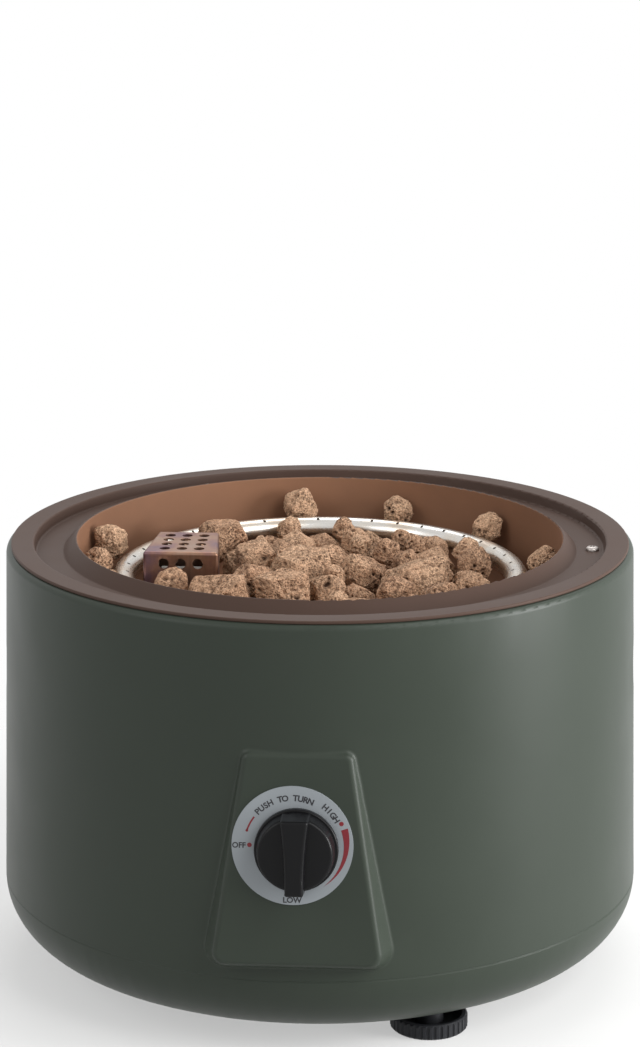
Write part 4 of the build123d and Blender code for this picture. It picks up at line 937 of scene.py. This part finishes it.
class FIREPIT_OT_gas_line(bpy.types.Operator):
    """Finish the pipes and nuts, and cut the inlet's thread"""

    bl_idname = "fire_pit.gas_line"
    bl_label = "Gas line"

    thread_radius = 0.00658
    ridge = 0.0006
    pitch = 0.0016
    bore = 0.004
    # Half width that only the hexagon has, the rounding of its edges, and the plain necks beside it.
    hex_least = 0.009
    hex_round = 0.0005
    neck = 0.0005
    run_out = 0.0012
    tip_height, tip_depth = 0.0006, 0.0009

    def execute(self, context):
        metal = context.scene.fire_pit_metal
        brass = metal_material("Machined brass", metal.brass, 0.30, heat=0.25)
        dress(brass, "gas_jet", "valve_plug", "inlet_locknut", "pipe_nuts")
        drawn = metal_material("Drawn aluminium", metal.alloy, 0.36)
        dress(drawn, "inlet_pipe", "outlet_pipe")
        low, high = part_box("inlet_fitting")
        axis_z = (low.z + high.z) / 2
        flats = high.z - low.z
        fitting = frame["nodes"]["inlet_fitting"].data
        middle = [v.co.y for v in fitting.vertices if abs(v.co.x) > self.hex_least]
        hex_low, hex_high = min(middle), max(middle)
        cut = (self.thread_radius, self.ridge, self.pitch)
        ridges = thread(*cut, low.y, hex_low - self.neck)
        ridges += [(self.thread_radius - self.ridge, hex_high + self.neck)]
        ridges += thread(*cut, hex_high + self.run_out, high.y - self.tip_height)[1:]
        tip = [(self.thread_radius - self.tip_depth, high.y), (self.bore, high.y)]
        lay_down = Matrix.Rotation(-math.pi / 2, 4, "X")
        shape = bmesh.new()
        profile = [(self.bore, low.y), *ridges, *tip]
        lathe(shape, profile, Matrix.Translation((0, 0, axis_z)) @ lay_down, steps=40, closed=True)
        grip = bmesh.new()
        corner = flats / math.sqrt(3)
        bmesh.ops.create_cone(
            grip, cap_ends=True, segments=6, radius1=corner, radius2=corner, depth=hex_high - hex_low
        )
        rounding = {"offset": self.hex_round, "segments": 2, "profile": 0.5}
        bmesh.ops.bevel(grip, geom=grip.edges[:], affect="EDGES", material=-1, **rounding)
        join(shape, grip, Matrix.Translation((0, (hex_low + hex_high) / 2, axis_z)) @ lay_down)
        sharpen(shape, 32)
        finish_piece(shape, "inlet_thread", brass, "housing", ["inlet_fitting"])
        return {"FINISHED"}


class FIREPIT_OT_feet(bpy.types.Operator):
    """Finish the levelling feet and cut their studs' threads"""

    bl_idname = "fire_pit.feet"
    bl_label = "Levelling feet"

    ridge = 0.0006
    pitch = 0.00125
    tip_height, tip_depth = 0.001, 0.0011

    def execute(self, context):
        settings = context.scene.fire_pit_dial
        zinc = bpy.data.materials["Zinc plate"]
        plastic = coating_material(
            "Foot plastic", settings.foot, 0.50, 0.0009, speck=0.25, bump=0.12, shine=0.25
        )
        for number in (1, 2, 3):
            node = f"foot_stud_{number}"
            low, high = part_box(node)
            radius = (high.x - low.x) / 2
            centre = (low + high) / 2
            shape = bmesh.new()
            ridges = thread(radius, self.ridge, self.pitch, low.z, high.z - self.tip_height)
            profile = [(0.0, low.z), *ridges, (radius - self.tip_depth, high.z), (0.0, high.z)]
            lathe(shape, profile, Matrix.Translation((centre.x, centre.y, 0)), steps=32)
            sharpen(shape, 32)
            finish_piece(shape, f"stud_thread_{number}", zinc, f"stud_{number}", [node])
            dress(plastic, f"foot_pad_{number}")
        return {"FINISHED"}


class FIREPIT_OT_stage(bpy.types.Operator):
    """Lay the floor, hang the lights and set the camera"""

    bl_idname = "fire_pit.stage"
    bl_label = "Stage"

    # Lamps: place, height of the aim as a share of the drum's, size and power.
    lamps = {
        "key": ((1.3, -1.2, 1.6), 0.6, (1.2, 1.2), 22.0),
        "fill": ((-1.4, -1.1, 1.3), 0.6, (1.0, 1.0), 8.0),
        "back": ((0.1, 1.2, 1.9), 1.0, (1.6, 0.8), 16.0),
        "side": ((1.5, -0.35, 0.40), 0.5, (0.6, 0.7), 30.0),
    }
    # Height of the bowl's hem over the drum, where the rim is measured.
    hem = 0.0022

    def soft_box(self, name, spot, aim, size, power):
        """Large soft lamp that points at a spot."""
        lamp = bpy.data.lights.new(name, "AREA")
        lamp.shape = "RECTANGLE"
        lamp.size, lamp.size_y = size
        lamp.energy = power
        holder = put(name, lamp)
        holder.location = spot
        holder.rotation_euler = (Vector(aim) - Vector(spot)).to_track_quat("-Z", "Y").to_euler()

    def seen_ray(self, tree):
        """1 for the rays that show the backdrop, straight or in a reflection or through glass."""
        path = place(tree, "LightPath").outputs
        mirrored = sums(tree, "MAXIMUM", path["Is Glossy Ray"], path["Is Transmission Ray"])
        return sums(tree, "MAXIMUM", path["Is Camera Ray"], mirrored)

    def floor_material(self, settings):
        """Pale floor that keeps the shadow and fades into the white backdrop."""
        material, tree, shader = new_material("Floor")
        where = object_place(tree)
        far = axis_radius(tree, where)
        edge = ramp_value(tree, far, settings.floor_radius * 0.3, settings.floor_radius, 1.0, 0.0)
        veil = ramp_value(tree, self.seen_ray(tree), 0.0, 1.0, settings.bounce, settings.shadow)
        feed(tree, shader.inputs["Alpha"], sums(tree, "MULTIPLY", edge, veil))
        speck = noise_value(tree, where, 30.0, 3.0)
        worn = tuple(0.98 * share for share in settings.floor)
        feed(tree, shader.inputs["Base Color"], blend_colour(tree, speck, worn, settings.floor))
        shader.inputs["Roughness"].default_value = 0.8
        return material

    def execute(self, context):
        scene = context.scene
        settings = scene.fire_pit_stage
        scene.view_settings.view_transform = "Standard"
        world = scene.world or bpy.data.worlds.new("Studio")
        scene.world = world
        world.use_nodes = True
        tree = world.node_tree
        sky = tree.nodes["Background"]
        sky.inputs["Color"].default_value = (1.0, 1.0, 1.0, 1.0)
        light = ramp_value(tree, self.seen_ray(tree), 0.0, 1.0, settings.ambient, 1.0)
        feed(tree, sky.inputs["Strength"], light)
        shape = bmesh.new()
        bmesh.ops.create_circle(shape, cap_ends=True, segments=96, radius=settings.floor_radius)
        floor = put("floor", to_mesh(shape, "floor"))
        floor.data.materials.append(self.floor_material(settings))
        for name, (spot, aim, size, power) in self.lamps.items():
            self.soft_box(name, spot, (0, 0, cad_high.z * aim), size, power)
        view = bpy.data.cameras.new("photo_view")
        view.lens = settings.lens
        view.clip_end = 60
        holder = put("photo_view", view)
        holder.location = (
            settings.distance * math.sin(settings.swing),
            -settings.distance * math.cos(settings.swing),
            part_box("drum_shell")[1].z + self.hem + settings.above_rim,
        )
        holder.rotation_euler = (math.pi / 2 - settings.pitch, 0, settings.swing)
        scene.camera = holder
        return {"FINISHED"}


class FIREPIT_PT_sidebar(bpy.types.Panel):
    """Fire pit pieces and settings"""

    bl_idname = "FIREPIT_PT_sidebar"
    bl_label = "Fire pit"
    bl_space_type = "VIEW_3D"
    bl_region_type = "UI"
    bl_category = "Fire pit"

    def draw(self, context):
        for operator in operators:
            self.layout.operator(operator.bl_idname)
        for name, group in setting_groups:
            box = self.layout.box()
            box.label(text=group.__doc__)
            for key in group.__annotations__:
                box.prop(getattr(context.scene, name), key)


setting_groups = (
    ("fire_pit_paint", PaintSettings),
    ("fire_pit_metal", MetalSettings),
    ("fire_pit_stones", StoneSettings),
    ("fire_pit_dial", DialSettings),
    ("fire_pit_stage", StageSettings),
)
operators = (
    FIREPIT_OT_paintwork,
    FIREPIT_OT_bowl,
    FIREPIT_OT_burner,
    FIREPIT_OT_rim_screws,
    FIREPIT_OT_lava_rock,
    FIREPIT_OT_dial,
    FIREPIT_OT_control,
    FIREPIT_OT_gas_line,
    FIREPIT_OT_feet,
    FIREPIT_OT_stage,
)


def register():
    """Add the settings, operators and panel."""
    for name, group in setting_groups:
        bpy.utils.register_class(group)
        setattr(bpy.types.Scene, name, bpy.props.PointerProperty(type=group))
    for part in (*operators, FIREPIT_PT_sidebar):
        bpy.utils.register_class(part)


def unregister():
    """Take them out again."""
    for part in (FIREPIT_PT_sidebar, *reversed(operators)):
        bpy.utils.unregister_class(part)
    for name, group in reversed(setting_groups):
        delattr(bpy.types.Scene, name)
        bpy.utils.unregister_class(group)


def main():
    """Build every piece in order."""
    register()
    coating_group()
    metal_group()
    bpy.ops.fire_pit.paintwork()
    bpy.ops.fire_pit.bowl()
    bpy.ops.fire_pit.burner()
    bpy.ops.fire_pit.rim_screws()
    bpy.ops.fire_pit.lava_rock()
    bpy.ops.fire_pit.dial()
    bpy.ops.fire_pit.control()
    bpy.ops.fire_pit.gas_line()
    bpy.ops.fire_pit.feet()
    bpy.ops.fire_pit.stage()


if __name__ == "__main__":
    main()
